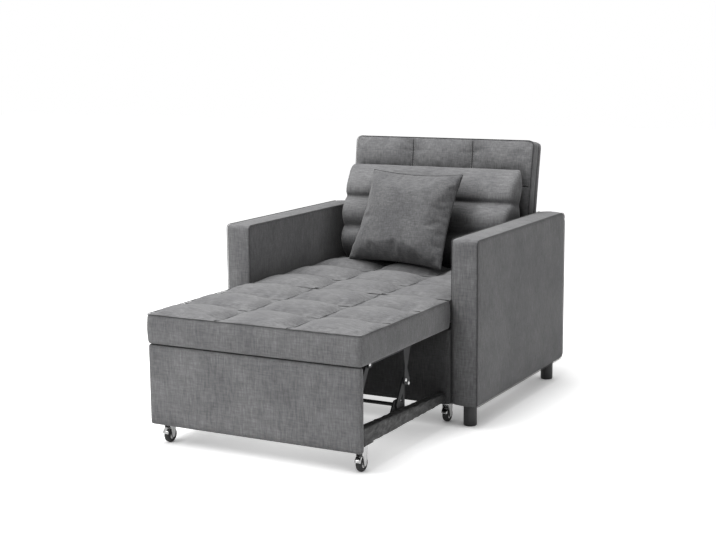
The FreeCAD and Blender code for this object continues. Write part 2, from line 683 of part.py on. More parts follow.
def build():
    nodes = {}
    sides(nodes, "arm_cover", arm_cover())
    sides(nodes, "arm_frame", arm_frame())
    nodes["feet"] = pairs(*[foot(y) for y in FOOT_ROWS])
    nodes["seat_cushion"] = seat_cushion()
    nodes["seat_side_rails"] = pairs(seat_side_rail())
    nodes["seat_cross_rails"] = seat_cross_rails()
    nodes["seat_webbing"] = seat_webbing()
    nodes["rear_panel"] = rear_panel()
    nodes["rear_beam"] = rear_beam()
    nodes["hinge_sectors"] = pairs(hinge_sector())
    nodes["hinge_arms"] = pairs(hinge_arm())
    nodes["backrest_cushion"] = backrest_cushion()
    nodes["backrest_rear_cover"] = backrest_rear_cover()
    sides(nodes, "backrest_post", backrest_post())
    nodes["backrest_rails"] = backrest_rails()
    nodes["lumbar_cushion"] = lumbar_cushion()
    nodes["throw_pillow"] = throw_pillow()
    nodes["leaf_cushion"] = leaf_cushion()
    nodes["leaf_board"] = leaf_board()
    nodes["front_panel_board"] = front_panel_board()
    nodes["front_panel_cover"] = front_panel_cover()
    sides(nodes, "side_rail", side_rail())
    nodes["drawer_wall"] = drawer_wall()
    nodes["drawer_cross_bar"] = drawer_cross_bar()
    for row, y in zip(("front", "rear"), CASTOR_ROWS):
        sides(nodes, row + "_castor_wheel", castor_wheel(y))
    nodes["castor_brackets"] = pairs(*[castor_bracket(y) for y in CASTOR_ROWS])
    nodes["front_lift_brackets"] = pairs(front_bracket())
    nodes["mid_lift_brackets"] = pairs(mid_bracket())
    nodes["front_lift_arms"] = lift_arms(FRONT_PIVOT, OPEN_PIVOT_CLEARANCE)
    nodes["mid_lift_arms"] = lift_arms(MID_PIVOT, RUNNING_CLEARANCE)
    nodes["lift_side_bars"] = pairs(lift_side_bar())
    nodes["lift_cross_bars"] = lift_cross_bars()
    return nodes


def main():
    os.makedirs("parts", exist_ok=True)
    nodes = build()
    to_origin = FreeCAD.Vector(0, -DEPTH_MIDDLE, 0)
    for name, shape in nodes.items():
        moved = shape.copy()
        moved.translate(to_origin)
        moved.exportStep("parts/" + name + ".step")
        if not moved.isValid():
            print("not valid:", name)
    print(len(nodes), "nodes; origin", round(DEPTH_MIDDLE, 2), "mm behind the arms' front plane")


main()
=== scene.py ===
"""Looks of the convertible chair bed: upholstery, stitching, hardware, studio and camera."""

import json
import math

import bpy
from mathutils import Matrix, Vector, noise


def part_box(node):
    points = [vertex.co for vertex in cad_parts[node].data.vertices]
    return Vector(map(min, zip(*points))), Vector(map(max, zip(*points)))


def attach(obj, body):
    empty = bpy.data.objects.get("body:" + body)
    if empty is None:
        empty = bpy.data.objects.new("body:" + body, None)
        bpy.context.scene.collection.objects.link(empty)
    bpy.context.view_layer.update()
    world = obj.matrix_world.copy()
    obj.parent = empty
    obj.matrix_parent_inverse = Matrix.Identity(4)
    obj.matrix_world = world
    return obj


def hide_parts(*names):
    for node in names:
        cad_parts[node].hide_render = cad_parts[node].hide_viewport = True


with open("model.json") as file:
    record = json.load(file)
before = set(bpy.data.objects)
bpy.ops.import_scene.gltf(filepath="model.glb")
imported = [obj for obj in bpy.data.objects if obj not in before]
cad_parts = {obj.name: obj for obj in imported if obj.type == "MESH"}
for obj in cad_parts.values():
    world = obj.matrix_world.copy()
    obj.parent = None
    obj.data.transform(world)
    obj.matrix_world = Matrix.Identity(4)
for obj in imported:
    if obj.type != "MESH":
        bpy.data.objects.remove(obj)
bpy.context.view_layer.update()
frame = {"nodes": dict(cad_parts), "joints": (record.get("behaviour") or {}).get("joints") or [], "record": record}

# Mesh fineness: the metres between points, and the sides of a cord
STEP = 0.0085
ARM_STEP = 0.0105
BOARD_STEP = 0.011
RAIL_STEP = 0.009
CORD_SIDES = 6
SAME_PLACE = 1e-6

# Seams, piping and stitches, in metres
SEAM_DEPTH = 0.008
SEAM_FADE = 0.05
SEAM_RADIUS = 0.0011
ROW_SEAM_RADIUS = 0.0009
SEAM_LIFT = 0.0010
STITCH_PITCH = 0.0065
STITCH_LENGTH = 0.0045
STITCH_RADIUS = 0.0006
STITCH_LIFT = 0.0016
PIPING_RADIUS = 0.0012
PIPING_LIFT = 0.0004
PILLOW_SEAM_RADIUS = 0.0016
# How far the painted shade in the fabrics' folds and between parts reaches
PAINTED_SHADE_REACH = 0.11

# Mattress sections
TUFT_CROWN = 0.016
TUFT_ROW = 0.207
SEAT_COLUMN_SEAM = 0.129
MATTRESS_GAP = 0.001
MATTRESS_FOOT = 0.0006
SOFT_CORNER = 0.018
FIRM_CORNER = 0.004
HINGE_CORNER = 0.003

# Back, measured from its hinge line while it lies flat
BACK_HALF_WIDTH = 0.372
BACK_LOWER_END = 0.038
BACK_UPPER_END = 0.505
BACK_LIMITS = (-BACK_HALF_WIDTH, BACK_HALF_WIDTH, -BACK_LOWER_END, BACK_UPPER_END)
BACK_FRONT_FACE = 0.040
BACK_PAD_REAR = 0.015
BACK_REAR_FACE = 0.050
BACK_CROWN = 0.012
BACK_CORNER = 0.022
BACK_LOWER_CORNER = 0.006
BACK_WAIST = 0.003
BACK_COLUMN_SEAM = 0.125
BACK_ROWS = (0.168, 0.335)
SHELL_GAP = 0.0008
SHELL_CORNER = 0.008
SHELL_ROUNDING = 0.014
SHELL_ROUND_DEPTH = 0.009

# Lumbar cushion, measured like the back
LUMBAR_HALF_WIDTH = 0.356
LUMBAR_SEAMS = (0.0265, 0.150, 0.262, 0.388)
LUMBAR_LEVELS = (0.104, 0.143, 0.136, 0.090)
LUMBAR_CRESTS = (0.042, 0.036, 0.030)
LUMBAR_REAR = 0.058
LUMBAR_MIDDLE = 0.100
LUMBAR_TUCK = 0.010
LUMBAR_END = 0.032
LUMBAR_LOWER_CORNER = 0.020
LUMBAR_UPPER_CORNER = 0.004

# Throw pillow
PILLOW_LOWER_WIDTH = 0.423
PILLOW_UPPER_WIDTH = 0.401
PILLOW_HEIGHT = 0.352
PILLOW_THICKNESS = 0.124
PILLOW_SPARE_THICKNESS = 0.024
PILLOW_SKEW = 0.038
PILLOW_WAIST = 0.013
PILLOW_SEAM_GAP = 0.002
PILLOW_GRID = 52
PILLOW_CENTRE = (-0.033, 0.39795, 0.6145)
PILLOW_TURN = -9.5
PILLOW_LEAN = 17.0

# Arms, covered boards and velvet rails
ARM_CORNER = 0.028
ARM_FRONT_CORNER = 0.014
ARM_FOOT_CORNER = 0.006
ARM_EDGE_SOFTNESS = 0.030
ARM_INNER_FACE = (0.0008, 0.0)
ARM_OUTER_FACE = (0.0035, 0.001)
BOARD_CORNER = 0.002
BOARD_EDGE_SOFTNESS = 0.005
WALL_OVERLAP = 0.0072
RETURN_DEPTH = 0.030
RETURN_THICKNESS = 0.003
RAIL_TAPER = 0.026
RAIL_ROUND_POINTS = 26
RAIL_SQUARENESS = 0.28
RAIL_SKIN = 0.0008
RAIL_LARGE_FOLD = 0.0022
RAIL_SMALL_FOLD = 0.0014

# Feet, castors and rivets
FOOT_RADIUS = 0.0225
HUB_SHARE = 0.60
WHEEL_BORE = 0.0032
HOOD_GAP = 0.0022
HOOD_SIDE_GAP = 0.0008
HOOD_SHEET = 0.0012
HOOD_STEPS = 22
HOOD_START = 15
HOOD_SWEEP = 95
CATCH_PIN = Vector((0, -0.37505, 0.204))

# Studio
SKY_STRENGTH = 0.26
FLOOR_GLOW = 0.78
FLOOR_REACH = 14.0
# Reach and power of the floor's painted contact shadow
SHADOW_REACH = 0.32
SHADOW_POWER = 1.2
AIM = (0, 0, 0.4)
CAMERA_PLACE = (2.27062, -4.26275, 1.29774)
CAMERA_AZIMUTH = 28.27
CAMERA_ELEVATION = 9.58
CAMERA_ROLL = -0.53
CAMERA_LENS = 70.907
SENSOR_WIDTH = 36.0

UP = Vector((0, 0, 1))
joints = {joint["name"]: joint for joint in frame["joints"]}
recline = joints["back_recline"]
PIVOT = Vector(recline["pos_m"])
RECLINE = math.radians(recline["range_deg"][1])
FLAT = Matrix.Identity(4)
LEANING = Matrix.Translation(PIVOT) @ Matrix.Rotation(RECLINE, 4, "X")
SIDEWAYS = Matrix(((0, 0, 1, 0), (1, 0, 0, 0), (0, 1, 0, 0), (0, 0, 0, 1)))
FRONTWAYS = Matrix(((1, 0, 0, 0), (0, 0, -1, 0), (0, 1, 0, 0), (0, 0, 0, 1)))


# Shader helpers

def new_material(name):
    material = bpy.data.materials.new(name)
    material.use_nodes = True
    nodes = material.node_tree.nodes
    return material, nodes, material.node_tree.links, nodes["Principled BSDF"]


def grey(level):
    return (level, level, level)


def stretched_noise(nodes, links, scale, stretch, detail=3.0):
    """Noise in the object's own space, drawn out along an axis by a smaller factor there."""
    place = nodes.new("ShaderNodeTexCoord")
    mapping = nodes.new("ShaderNodeMapping")
    mapping.inputs["Scale"].default_value = stretch
    texture = nodes.new("ShaderNodeTexNoise")
    texture.inputs["Scale"].default_value = scale
    texture.inputs["Detail"].default_value = detail
    texture.inputs["Roughness"].default_value = 0.6
    links.new(place.outputs["Object"], mapping.inputs["Vector"])
    links.new(mapping.outputs["Vector"], texture.inputs["Vector"])
    return texture.outputs["Fac"]


def ramp(nodes, links, value, stops):
    """Colours by value; the stops are (place, colour) in rising order."""
    node = nodes.new("ShaderNodeValToRGB")
    elements = node.color_ramp.elements
    for element, (place, colour) in zip(elements, (stops[0], stops[-1])):
        element.position = place
        element.color = (*colour, 1)
    for place, colour in stops[1:-1]:
        elements.new(place).color = (*colour, 1)
    links.new(value, node.inputs["Fac"])
    return node.outputs["Color"]


def mix(nodes, links, first, second, factor, blend="MIX"):
    """Blend two colours; each of the three can be a socket or a plain value."""
    node = nodes.new("ShaderNodeMix")
    node.data_type = "RGBA"
    node.blend_type = blend
    for socket, value in (("Factor", factor), ("A", first), ("B", second)):
        target = [s for s in node.inputs if s.name == socket and s.enabled][0]
        if isinstance(value, (int, float)):
            target.default_value = value
        elif isinstance(value, tuple):
            target.default_value = (*value, 1)
        else:
            links.new(value, target)
    return [s for s in node.outputs if s.enabled][0]


def maths(nodes, links, operation, first, second, third=0.0):
    """A sum on sockets or plain values; only MULTIPLY_ADD uses the third."""
    node = nodes.new("ShaderNodeMath")
    node.operation = operation
    for socket, value in zip(node.inputs, (first, second, third)):
        if isinstance(value, (int, float)):
            socket.default_value = value
        else:
            links.new(value, socket)
    return node.outputs[0]


def bump(nodes, links, shader, height, distance, strength):
    node = nodes.new("ShaderNodeBump")
    node.inputs["Distance"].default_value = distance
    node.inputs["Strength"].default_value = strength
    links.new(height, node.inputs["Height"])
    links.new(node.outputs["Normal"], shader.inputs["Normal"])


def facing(nodes, links):
    """How much a surface faces up or down, from its own normal."""
    place = nodes.new("ShaderNodeTexCoord")
    split = nodes.new("ShaderNodeSeparateXYZ")
    links.new(place.outputs["Normal"], split.inputs["Vector"])
    return maths(nodes, links, "ABSOLUTE", split.outputs["Z"], 0.0)


def painted_fold_shade(nodes, links, colour):
    """Painted shade: darken a cloth's colour by ambient occlusion in its seams and folds and near other parts,
    where little light gets in.
    """
    painted_shade_node = nodes.new("ShaderNodeAmbientOcclusion")
    painted_shade_node.samples = 8
    painted_shade_node.inputs["Distance"].default_value = PAINTED_SHADE_REACH
    links.new(colour, painted_shade_node.inputs["Color"])
    return painted_shade_node.outputs["Color"]


def seen_directly(nodes, links):
    """1 for what the camera sees straight on, mirrored or through glass, and 0 for other light."""
    rays = nodes.new("ShaderNodeLightPath")
    seen = maths(nodes, links, "MAXIMUM", rays.outputs["Is Camera Ray"], rays.outputs["Is Glossy Ray"])
    return maths(nodes, links, "MAXIMUM", seen, rays.outputs["Is Transmission Ray"])


# Materials

def woven_velvet(name, dark, middle, light):
    """Heathered velvet with a linen look: upright and crossways threads over soft blotches, with painted shade in
    its folds and where other parts come near.
    """
    material, nodes, links, shader = new_material(name)
    upright = stretched_noise(nodes, links, 230, (1.0, 1.0, 0.14))
    crossways = stretched_noise(nodes, links, 230, (0.14, 1.0, 1.0))
    share = maths(nodes, links, "MULTIPLY_ADD", facing(nodes, links), 0.4, 0.4)
    streaks = mix(nodes, links, upright, crossways, share)
    tone = ramp(nodes, links, streaks, [(0.32, dark), (0.50, middle), (0.68, light)])
    blotches = stretched_noise(nodes, links, 9.0, (1.0, 1.0, 0.8), 5.0)
    shade = ramp(nodes, links, blotches, [(0.36, (0.84, 0.84, 0.85)), (0.62, grey(1.04))])
    colour = mix(nodes, links, tone, shade, 1.0, "MULTIPLY")
    # Painted shade: ambient occlusion darkens the base colour in folds, seams and where parts meet
    links.new(painted_fold_shade(nodes, links, colour), shader.inputs["Base Color"])
    shader.inputs["Roughness"].default_value = 0.88
    shader.inputs["Specular IOR Level"].default_value = 0.25
    shader.inputs["Sheen Weight"].default_value = 0.22
    shader.inputs["Sheen Roughness"].default_value = 0.45
    threads = stretched_noise(nodes, links, 900, (1.0, 1.0, 1.0), 2.0)
    height = maths(nodes, links, "ADD", streaks, threads)
    bump(nodes, links, shader, height, 0.0006, 0.55)
    return material


def crushed_velvet(name):
    """Black pile with irregular shine."""
    material, nodes, links, shader = new_material(name)
    pile = stretched_noise(nodes, links, 60, (0.5, 0.5, 1.0), 5.0)
    colour = ramp(nodes, links, pile, [(0.40, grey(0.002)), (0.80, (0.016, 0.016, 0.017))])
    links.new(colour, shader.inputs["Base Color"])
    shine = ramp(nodes, links, pile, [(0.3, grey(0.75)), (0.7, grey(0.38))])
    links.new(shine, shader.inputs["Roughness"])
    shader.inputs["Sheen Weight"].default_value = 0.06
    shader.inputs["Sheen Roughness"].default_value = 0.3
    bump(nodes, links, shader, pile, 0.004, 0.8)
    return material


def lining_cloth(name):
    """Thin black cloth that lines what isn't meant to be seen."""
    material, nodes, links, shader = new_material(name)
    weave = stretched_noise(nodes, links, 500, (1.0, 1.0, 0.3), 2.0)
    colour = ramp(nodes, links, weave, [(0.3, (0.008, 0.008, 0.009)), (0.7, (0.030, 0.030, 0.033))])
    links.new(colour, shader.inputs["Base Color"])
    shader.inputs["Roughness"].default_value = 0.9
    shader.inputs["Sheen Weight"].default_value = 0.2
    bump(nodes, links, shader, weave, 0.0004, 0.5)
    return material


def thread(name, colour):
    """Twisted sewing thread."""
    material, nodes, links, shader = new_material(name)
    twist = stretched_noise(nodes, links, 1500, (1.0, 1.0, 1.0), 1.0)
    darker = tuple(part * 0.6 for part in colour)
    links.new(ramp(nodes, links, twist, [(0.3, darker), (0.7, colour)]), shader.inputs["Base Color"])
    shader.inputs["Roughness"].default_value = 0.6
    shader.inputs["Sheen Weight"].default_value = 0.2
    return material


def coated_steel(name):
    """Black powder-coated steel with dull wear."""
    material, nodes, links, shader = new_material(name)
    grain = stretched_noise(nodes, links, 700, (1.0, 1.0, 1.0), 2.0)
    wear = stretched_noise(nodes, links, 25, (1.0, 1.0, 1.0), 5.0)
    colour = ramp(nodes, links, wear, [(0.3, (0.010, 0.010, 0.011)), (0.8, (0.030, 0.030, 0.032))])
    links.new(colour, shader.inputs["Base Color"])
    dullness = ramp(nodes, links, wear, [(0.3, grey(0.45)), (0.7, grey(0.62))])
    links.new(dullness, shader.inputs["Roughness"])
    shader.inputs["Specular IOR Level"].default_value = 0.3
    bump(nodes, links, shader, grain, 0.0002, 0.4)
    return material


def bright_steel(name):
    """Plated steel, brushed lightly."""
    material, nodes, links, shader = new_material(name)
    brushed = stretched_noise(nodes, links, 220, (1.0, 1.0, 0.08), 3.0)
    colour = ramp(nodes, links, brushed, [(0.3, grey(0.34)), (0.7, grey(0.58))])
    links.new(colour, shader.inputs["Base Color"])
    shader.inputs["Metallic"].default_value = 1.0
    dullness = ramp(nodes, links, brushed, [(0.3, grey(0.16)), (0.7, grey(0.28))])
    links.new(dullness, shader.inputs["Roughness"])
    return material


def moulded_plastic(name, colour, roughness):
    """Plastic or rubber with a fine grain and a little dust."""
    material, nodes, links, shader = new_material(name)
    grain = stretched_noise(nodes, links, 900, (1.0, 1.0, 1.0), 2.0)
    dust = stretched_noise(nodes, links, 30, (1.0, 1.0, 1.0), 4.0)
    lighter = tuple(part * 1.8 + 0.004 for part in colour)
    links.new(ramp(nodes, links, dust, [(0.35, colour), (0.8, lighter)]), shader.inputs["Base Color"])
    shader.inputs["Roughness"].default_value = roughness
    bump(nodes, links, shader, grain, 0.0002, 0.5)
    return material


def raw_timber(name):
    """Planed softwood, its grain along Y."""
    material, nodes, links, shader = new_material(name)
    grain = stretched_noise(nodes, links, 38, (1.0, 0.06, 1.0), 6.0)
    colour = ramp(nodes, links, grain, [(0.32, (0.36, 0.22, 0.11)), (0.68, (0.62, 0.45, 0.27))])
    links.new(colour, shader.inputs["Base Color"])
    shader.inputs["Roughness"].default_value = 0.7
    bump(nodes, links, shader, grain, 0.0004, 0.5)
    return material


def elastic_webbing(name):
    """Brown elastic straps."""
    material, nodes, links, shader = new_material(name)
    weave = stretched_noise(nodes, links, 420, (1.0, 0.2, 1.0), 2.0)
    colour = ramp(nodes, links, weave, [(0.3, (0.05, 0.04, 0.035)), (0.7, (0.16, 0.13, 0.10))])
    links.new(colour, shader.inputs["Base Color"])
    shader.inputs["Roughness"].default_value = 0.85
    bump(nodes, links, shader, weave, 0.0005, 0.6)
    return material


grey_fabric = woven_velvet(
    "grey_fabric", (0.122, 0.122, 0.124), (0.176, 0.176, 0.179), (0.242, 0.242, 0.245))
pillow_fabric = woven_velvet(
    "pillow_fabric", (0.092, 0.092, 0.094), (0.136, 0.136, 0.139), (0.190, 0.190, 0.193))
# Darker copy of the grey fabric: painted shade for the seam and piping cords and for the drawer wall's cover
painted_shade_fabric = woven_velvet(
    "painted_shade_fabric", (0.040, 0.040, 0.041), (0.062, 0.062, 0.063), (0.090, 0.090, 0.092))
black_velvet = crushed_velvet("black_velvet")
black_lining = lining_cloth("black_lining")
grey_thread = thread("grey_thread", (0.34, 0.34, 0.35))
black_steel = coated_steel("black_steel")
plated_steel = bright_steel("plated_steel")
black_plastic = moulded_plastic("black_plastic", (0.008, 0.008, 0.009), 0.5)
tyre_rubber = moulded_plastic("tyre_rubber", (0.010, 0.010, 0.010), 0.7)
timber = raw_timber("timber")
webbing = elastic_webbing("webbing")


# Mesh helpers

def make_object(name, coords, faces, material, body, smooth=True):
    """A named mesh piece that rides on a body."""
    mesh = bpy.data.meshes.new(name)
    mesh.from_pydata([tuple(point) for point in coords], [], faces)
    mesh.validate()
    mesh.update()
    mesh.materials.append(material)
    mesh.polygons.foreach_set("use_smooth", [smooth] * len(mesh.polygons))
    obj = bpy.data.objects.new(name, mesh)
    bpy.context.scene.collection.objects.link(obj)
    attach(obj, body)
    return obj


def subdivide(obj):
    modifier = obj.modifiers.new("smooth", "SUBSURF")
    modifier.levels = 1
    modifier.render_levels = 1


def spaced(low, high, stops=(), step=STEP):
    """Even places from low to high that hit each stop exactly."""
    marks = [low, *sorted(stops), high]
    places = [low]
    for start, end in zip(marks, marks[1:]):
        count = max(2, round((end - start) / step))
        places += [start + (end - start) * k / count for k in range(1, count + 1)]
    return places


def rounded_place(u, v, limits, radii):
    """Move a rectangle's point so that its corners become round; radii are (u0v0, u1v0, u1v1, u0v1)."""
    u0, u1, v0, v1 = limits
    right = u > (u0 + u1) / 2
    upper = v > (v0 + v1) / 2
    radius = radii[(2 if right else 3) if upper else (1 if right else 0)]
    if radius <= 0:
        return u, v
    centre_u = u1 - radius if right else u0 + radius
    centre_v = v1 - radius if upper else v0 + radius
    du = max(0.0, (u - centre_u) if right else (centre_u - u))
    dv = max(0.0, (v - centre_v) if upper else (centre_v - v))
    length = math.hypot(du, dv)
    if length == 0 or min(du, dv) == 0:
        return u, v
    scale = max(du, dv) / length
    return centre_u + (1 if right else -1) * du * scale, centre_v + (1 if upper else -1) * dv * scale


def grid_faces(columns, rows, first=0, flip=False):
    """Quads between a grid's points, which are numbered column by column from first."""
    faces = []
    for i in range(columns - 1):
        for j in range(rows - 1):
            a = first + i * rows + j
            quad = (a, a + rows, a + rows + 1, a + 1)
            faces.append(quad[::-1] if flip else quad)
    return faces


def ring_of(columns, rows):
    """Indices round a grid's border, in order."""
    ring = [i * rows for i in range(columns)]
    ring += [(columns - 1) * rows + j for j in range(1, rows)]
    ring += [i * rows + rows - 1 for i in range(columns - 2, -1, -1)]
    ring += [j for j in range(rows - 2, 0, -1)]
    return ring


def two_sheets(columns, rows):
    """Faces of a closed form from two grids of points, one after the other, joined round their borders."""
    count = columns * rows
    faces = grid_faces(columns, rows) + grid_faces(columns, rows, count, True)
    ring = ring_of(columns, rows)
    for k, index in enumerate(ring):
        after = ring[(k + 1) % len(ring)]
        faces.append((index, index + count, after + count, after))
    return faces


def puffed(coords, faces, pinned, pressure, spare, cap):
    """Blow up a sheet of cloth by simulation. pinned holds point numbers by how firmly they stay.

    spare is the share of extra cloth, for creases, and cap is the farthest that a point may travel.
    """
    scene = bpy.context.scene
    mesh = bpy.data.meshes.new("cloth_source")
    mesh.from_pydata([tuple(point) for point in coords], [], faces)
    obj = bpy.data.objects.new("cloth_source", mesh)
    scene.collection.objects.link(obj)
    group = obj.vertex_groups.new(name="pinned")
    for weight, indices in pinned.items():
        group.add(list(indices), weight, "REPLACE")
    modifier = obj.modifiers.new("cloth", "CLOTH")
    cloth = modifier.settings
    cloth.quality = 5
    cloth.mass = 0.3
    cloth.bending_stiffness = 0.6
    cloth.vertex_group_mass = "pinned"
    cloth.effector_weights.gravity = 0
    cloth.use_pressure = True
    cloth.uniform_pressure_force = pressure
    cloth.shrink_min = -spare
    last_frame = 20
    modifier.point_cache.frame_start = 1
    modifier.point_cache.frame_end = last_frame
    for number in range(1, last_frame + 1):
        scene.frame_set(number)
    result = obj.evaluated_get(bpy.context.evaluated_depsgraph_get()).data
    moved = []
    for start, vertex in zip(coords, result.vertices):
        way = vertex.co - Vector(start)
        if way.length > cap:
            way = way * (cap / way.length)
        moved.append(Vector(start) + way)
    scene.frame_set(1)
    bpy.data.objects.remove(obj)
    bpy.data.meshes.remove(mesh)
    return moved


def ripple(point, scale, seed):
    """Smooth unevenness between about -1 and 1; a larger scale gives shorter waves."""
    return noise.noise(Vector(point) * scale + Vector((seed, seed * 0.7, -seed)))


def dome(share, power=2.6):
    """Height over a cell from 0 at its seams to 1 in its middle."""
    return max(0.0, 1 - abs(2 * share - 1) ** power)


def cell_share(value, marks):
    """How far a value lies through the cell between two marks that holds it, from 0 to 1."""
    for start, end in zip(marks, marks[1:]):
        if value <= end or end == marks[-1]:
            return (value - start) / (end - start)


def nearest(places, mark):
    return min(range(len(places)), key=lambda k: abs(places[k] - mark))


def held_points(us, vs, marks, row_hold):
    """Where a pad's sheet is held: fully at its border and columns, and by row_hold along its rows."""
    rows = len(vs)
    firm = set(ring_of(len(us), rows))
    for i, u in enumerate(us):
        if any(abs(u - mark) < SAME_PLACE for mark in marks[0]):
            firm.update(range(i * rows, (i + 1) * rows))
    sewn = set()
    for j, v in enumerate(vs):
        if any(abs(v - mark) < SAME_PLACE for mark in marks[1]):
            sewn.update(range(j, len(us) * rows, rows))
    return {1.0: firm, row_hold: sewn - firm}


def side_ring(spots, ring, share, low, high, swell, seed):
    """Points round a pad's side, at a share of the way from its high face to its low one."""
    points = []
    for k, index in enumerate(ring):
        pu, pv = spots[index]
        before = Vector(spots[ring[k - 1]])
        after = Vector(spots[ring[(k + 1) % len(ring)]])
        along = (after - before).normalized()
        bulge = swell * math.sin(math.pi * share) * (1 + 0.35 * ripple((pu, pv, share), 14, seed))
        w = high(pu, pv) * (1 - share) + low(pu, pv) * share
        points.append(Vector((pu + along.y * bulge, pv - along.x * bulge, w)))
    return points


def slab(name, limits, radii, low, high, place, body, material, band, swell, seed,
         marks=((), ()), pressure=None, step=STEP, draw_in=0.0, scallop=None):
    """A pad in its own u, v, w space: a high face over a low face, joined by a side that swells.

    low and high give w for a place (u, v), and marks are the columns' u and the rows' v. band is the
    number of steps down the side, which swells outwards by swell at half height. draw_in narrows
    the pad in the middle of its length, and scallop gives that inset for each v instead. pressure is
    (force, spare cloth, cap, hold of the rows) and blows up the high face as cloth; a hold of None leaves
    the whole sheet free. Returns the object, its high face's points by grid place, and the us and vs.
    """
    u0, u1, v0, v1 = limits
    us = spaced(u0, u1, marks[0], step)
    vs = spaced(v0, v1, marks[1], step)
    rows = len(vs)
    middle_v = (v0 + v1) / 2

    def spot(u, v):
        pu, pv = rounded_place(u, v, limits, radii)
        inward = scallop(v) if scallop else draw_in * (1 - ((pv - middle_v) / (v1 - middle_v)) ** 2)
        return pu * (1 - inward / max(abs(u0), abs(u1))), pv

    spots = [spot(u, v) for u in us for v in vs]
    top = [Vector((pu, pv, high(pu, pv))) for pu, pv in spots]
    ring = ring_of(len(us), rows)
    if pressure:
        force, spare, cap, row_hold = pressure
        held = held_points(us, vs, marks, row_hold) if row_hold else {}
        top = puffed(top, grid_faces(len(us), rows), held, force, spare, cap)
    coords = list(top)
    faces = grid_faces(len(us), rows)
    previous = ring
    count = len(ring)
    for level in range(1, band + 1):
        current = list(range(len(coords), len(coords) + count))
        coords += side_ring(spots, ring, level / band, low, high, swell, seed)
        for k in range(count):
            after = (k + 1) % count
            faces.append((previous[k], current[k], current[after], previous[after]))
        previous = current
    below = {index: len(coords) + index for index in range(len(spots))}
    below.update(zip(ring, previous))
    coords += [Vector((pu, pv, low(pu, pv))) for pu, pv in spots]
    for quad in grid_faces(len(us), rows, 0, True):
        faces.append(tuple(below[index] for index in quad))
    coords, faces = without_loose(coords, faces)
    obj = make_object(name, [place @ point for point in coords], faces, material, body)
    subdivide(obj)
    surface = {(i, j): place @ top[i * rows + j] for i in range(len(us)) for j in range(rows)}
    return obj, surface, us, vs


def border(surface, us, vs):
    """The high face's edge points, in order."""
    return [surface[index // len(vs), index % len(vs)] for index in ring_of(len(us), len(vs))]


def seam_line(surface, spots, across, lift):
    """Points along a seam, where the smoothed cloth lies between the seam and its neighbours."""
    line = []
    for i, j in spots:
        before = surface[i - across[0], j - across[1]]
        after = surface[i + across[0], j + across[1]]
        line.append(surface[i, j] * (2 / 3) + (before + after) / 6 + lift)
    return line


def column_seam(surface, i, vs, lift):
    return seam_line(surface, [(i, j) for j in range(1, len(vs) - 1)], (1, 0), lift)


def row_seam(surface, j, us, lift):
    return seam_line(surface, [(i, j) for i in range(1, len(us) - 1)], (0, 1), lift)


def stitch_line(surface, spots, aside, lift):
    """Points halfway between a seam and its neighbour on one side."""
    return [surface[i, j].lerp(surface[i + aside[0], j + aside[1]], 0.5) + lift for i, j in spots]


def without_loose(coords, faces):
    """Drop the points that no face uses."""
    used = sorted({index for face in faces for index in face})
    renamed = {old: new for new, old in enumerate(used)}
    return [coords[index] for index in used], [tuple(renamed[index] for index in face) for face in faces]


def tube(name, points, radius, material, body, closed=False):
    """A round cord, such as piping, along points."""
    count = len(points)
    coords = []
    for k, point in enumerate(points):
        before = points[k - 1] if closed or k > 0 else point
        after = points[(k + 1) % count] if closed or k < count - 1 else point
        along = (after - before).normalized()
        upright = abs(along.z) > 0.99
        side = along.orthogonal().normalized() if upright else along.cross(UP).normalized()
        over = side.cross(along).normalized()
        for turn in range(CORD_SIDES):
            angle = 2 * math.pi * turn / CORD_SIDES
            coords.append(point + side * (radius * math.cos(angle)) + over * (radius * math.sin(angle)))
    faces = []
    for k in range(count if closed else count - 1):
        here = k * CORD_SIDES
        there = (k + 1) % count * CORD_SIDES
        for turn in range(CORD_SIDES):
            after = (turn + 1) % CORD_SIDES
            faces.append((here + turn, here + after, there + after, there + turn))
    if not closed:
        faces.append(tuple(range(CORD_SIDES))[::-1])
        faces.append(tuple((count - 1) * CORD_SIDES + turn for turn in range(CORD_SIDES)))
    return make_object(name, coords, faces, material, body)


def stitches(name, lines, body):
    """Rows of short thread runs that lie on the fabric along each line of points."""
    coords = []
    faces = []
    for line in lines:
        lengths = [0.0]
        for start, end in zip(line, line[1:]):
            lengths.append(lengths[-1] + (end - start).length)
        place = STITCH_PITCH / 2
        while place + STITCH_LENGTH < lengths[-1]:
            start = along_line(line, lengths, place)
            add_run(coords, faces, start, along_line(line, lengths, place + STITCH_LENGTH))
            place += STITCH_PITCH
    return make_object(name, coords, faces, grey_thread, body)


def along_line(line, lengths, place):
    """The point that lies place metres along a line; lengths are the line's running totals."""
    for k in range(len(line) - 1):
        if place <= lengths[k + 1]:
            share = (place - lengths[k]) / max(1e-9, lengths[k + 1] - lengths[k])
            return line[k].lerp(line[k + 1], share)
    return line[-1]


def add_run(coords, faces, start, end):
    """Add one straight four-sided piece of thread."""
    along = (end - start).normalized()
    side = along.orthogonal().normalized() * STITCH_RADIUS
    over = side.cross(along)
    first = len(coords)
    for point in (start, end):
        coords += [point + side, point + over, point - side, point - over]
    for turn in range(4):
        after = (turn + 1) % 4
        faces.append((first + turn, first + after, first + 4 + after, first + 4 + turn))
    faces.append((first + 3, first + 2, first + 1, first))
    faces.append((first + 4, first + 5, first + 6, first + 7))


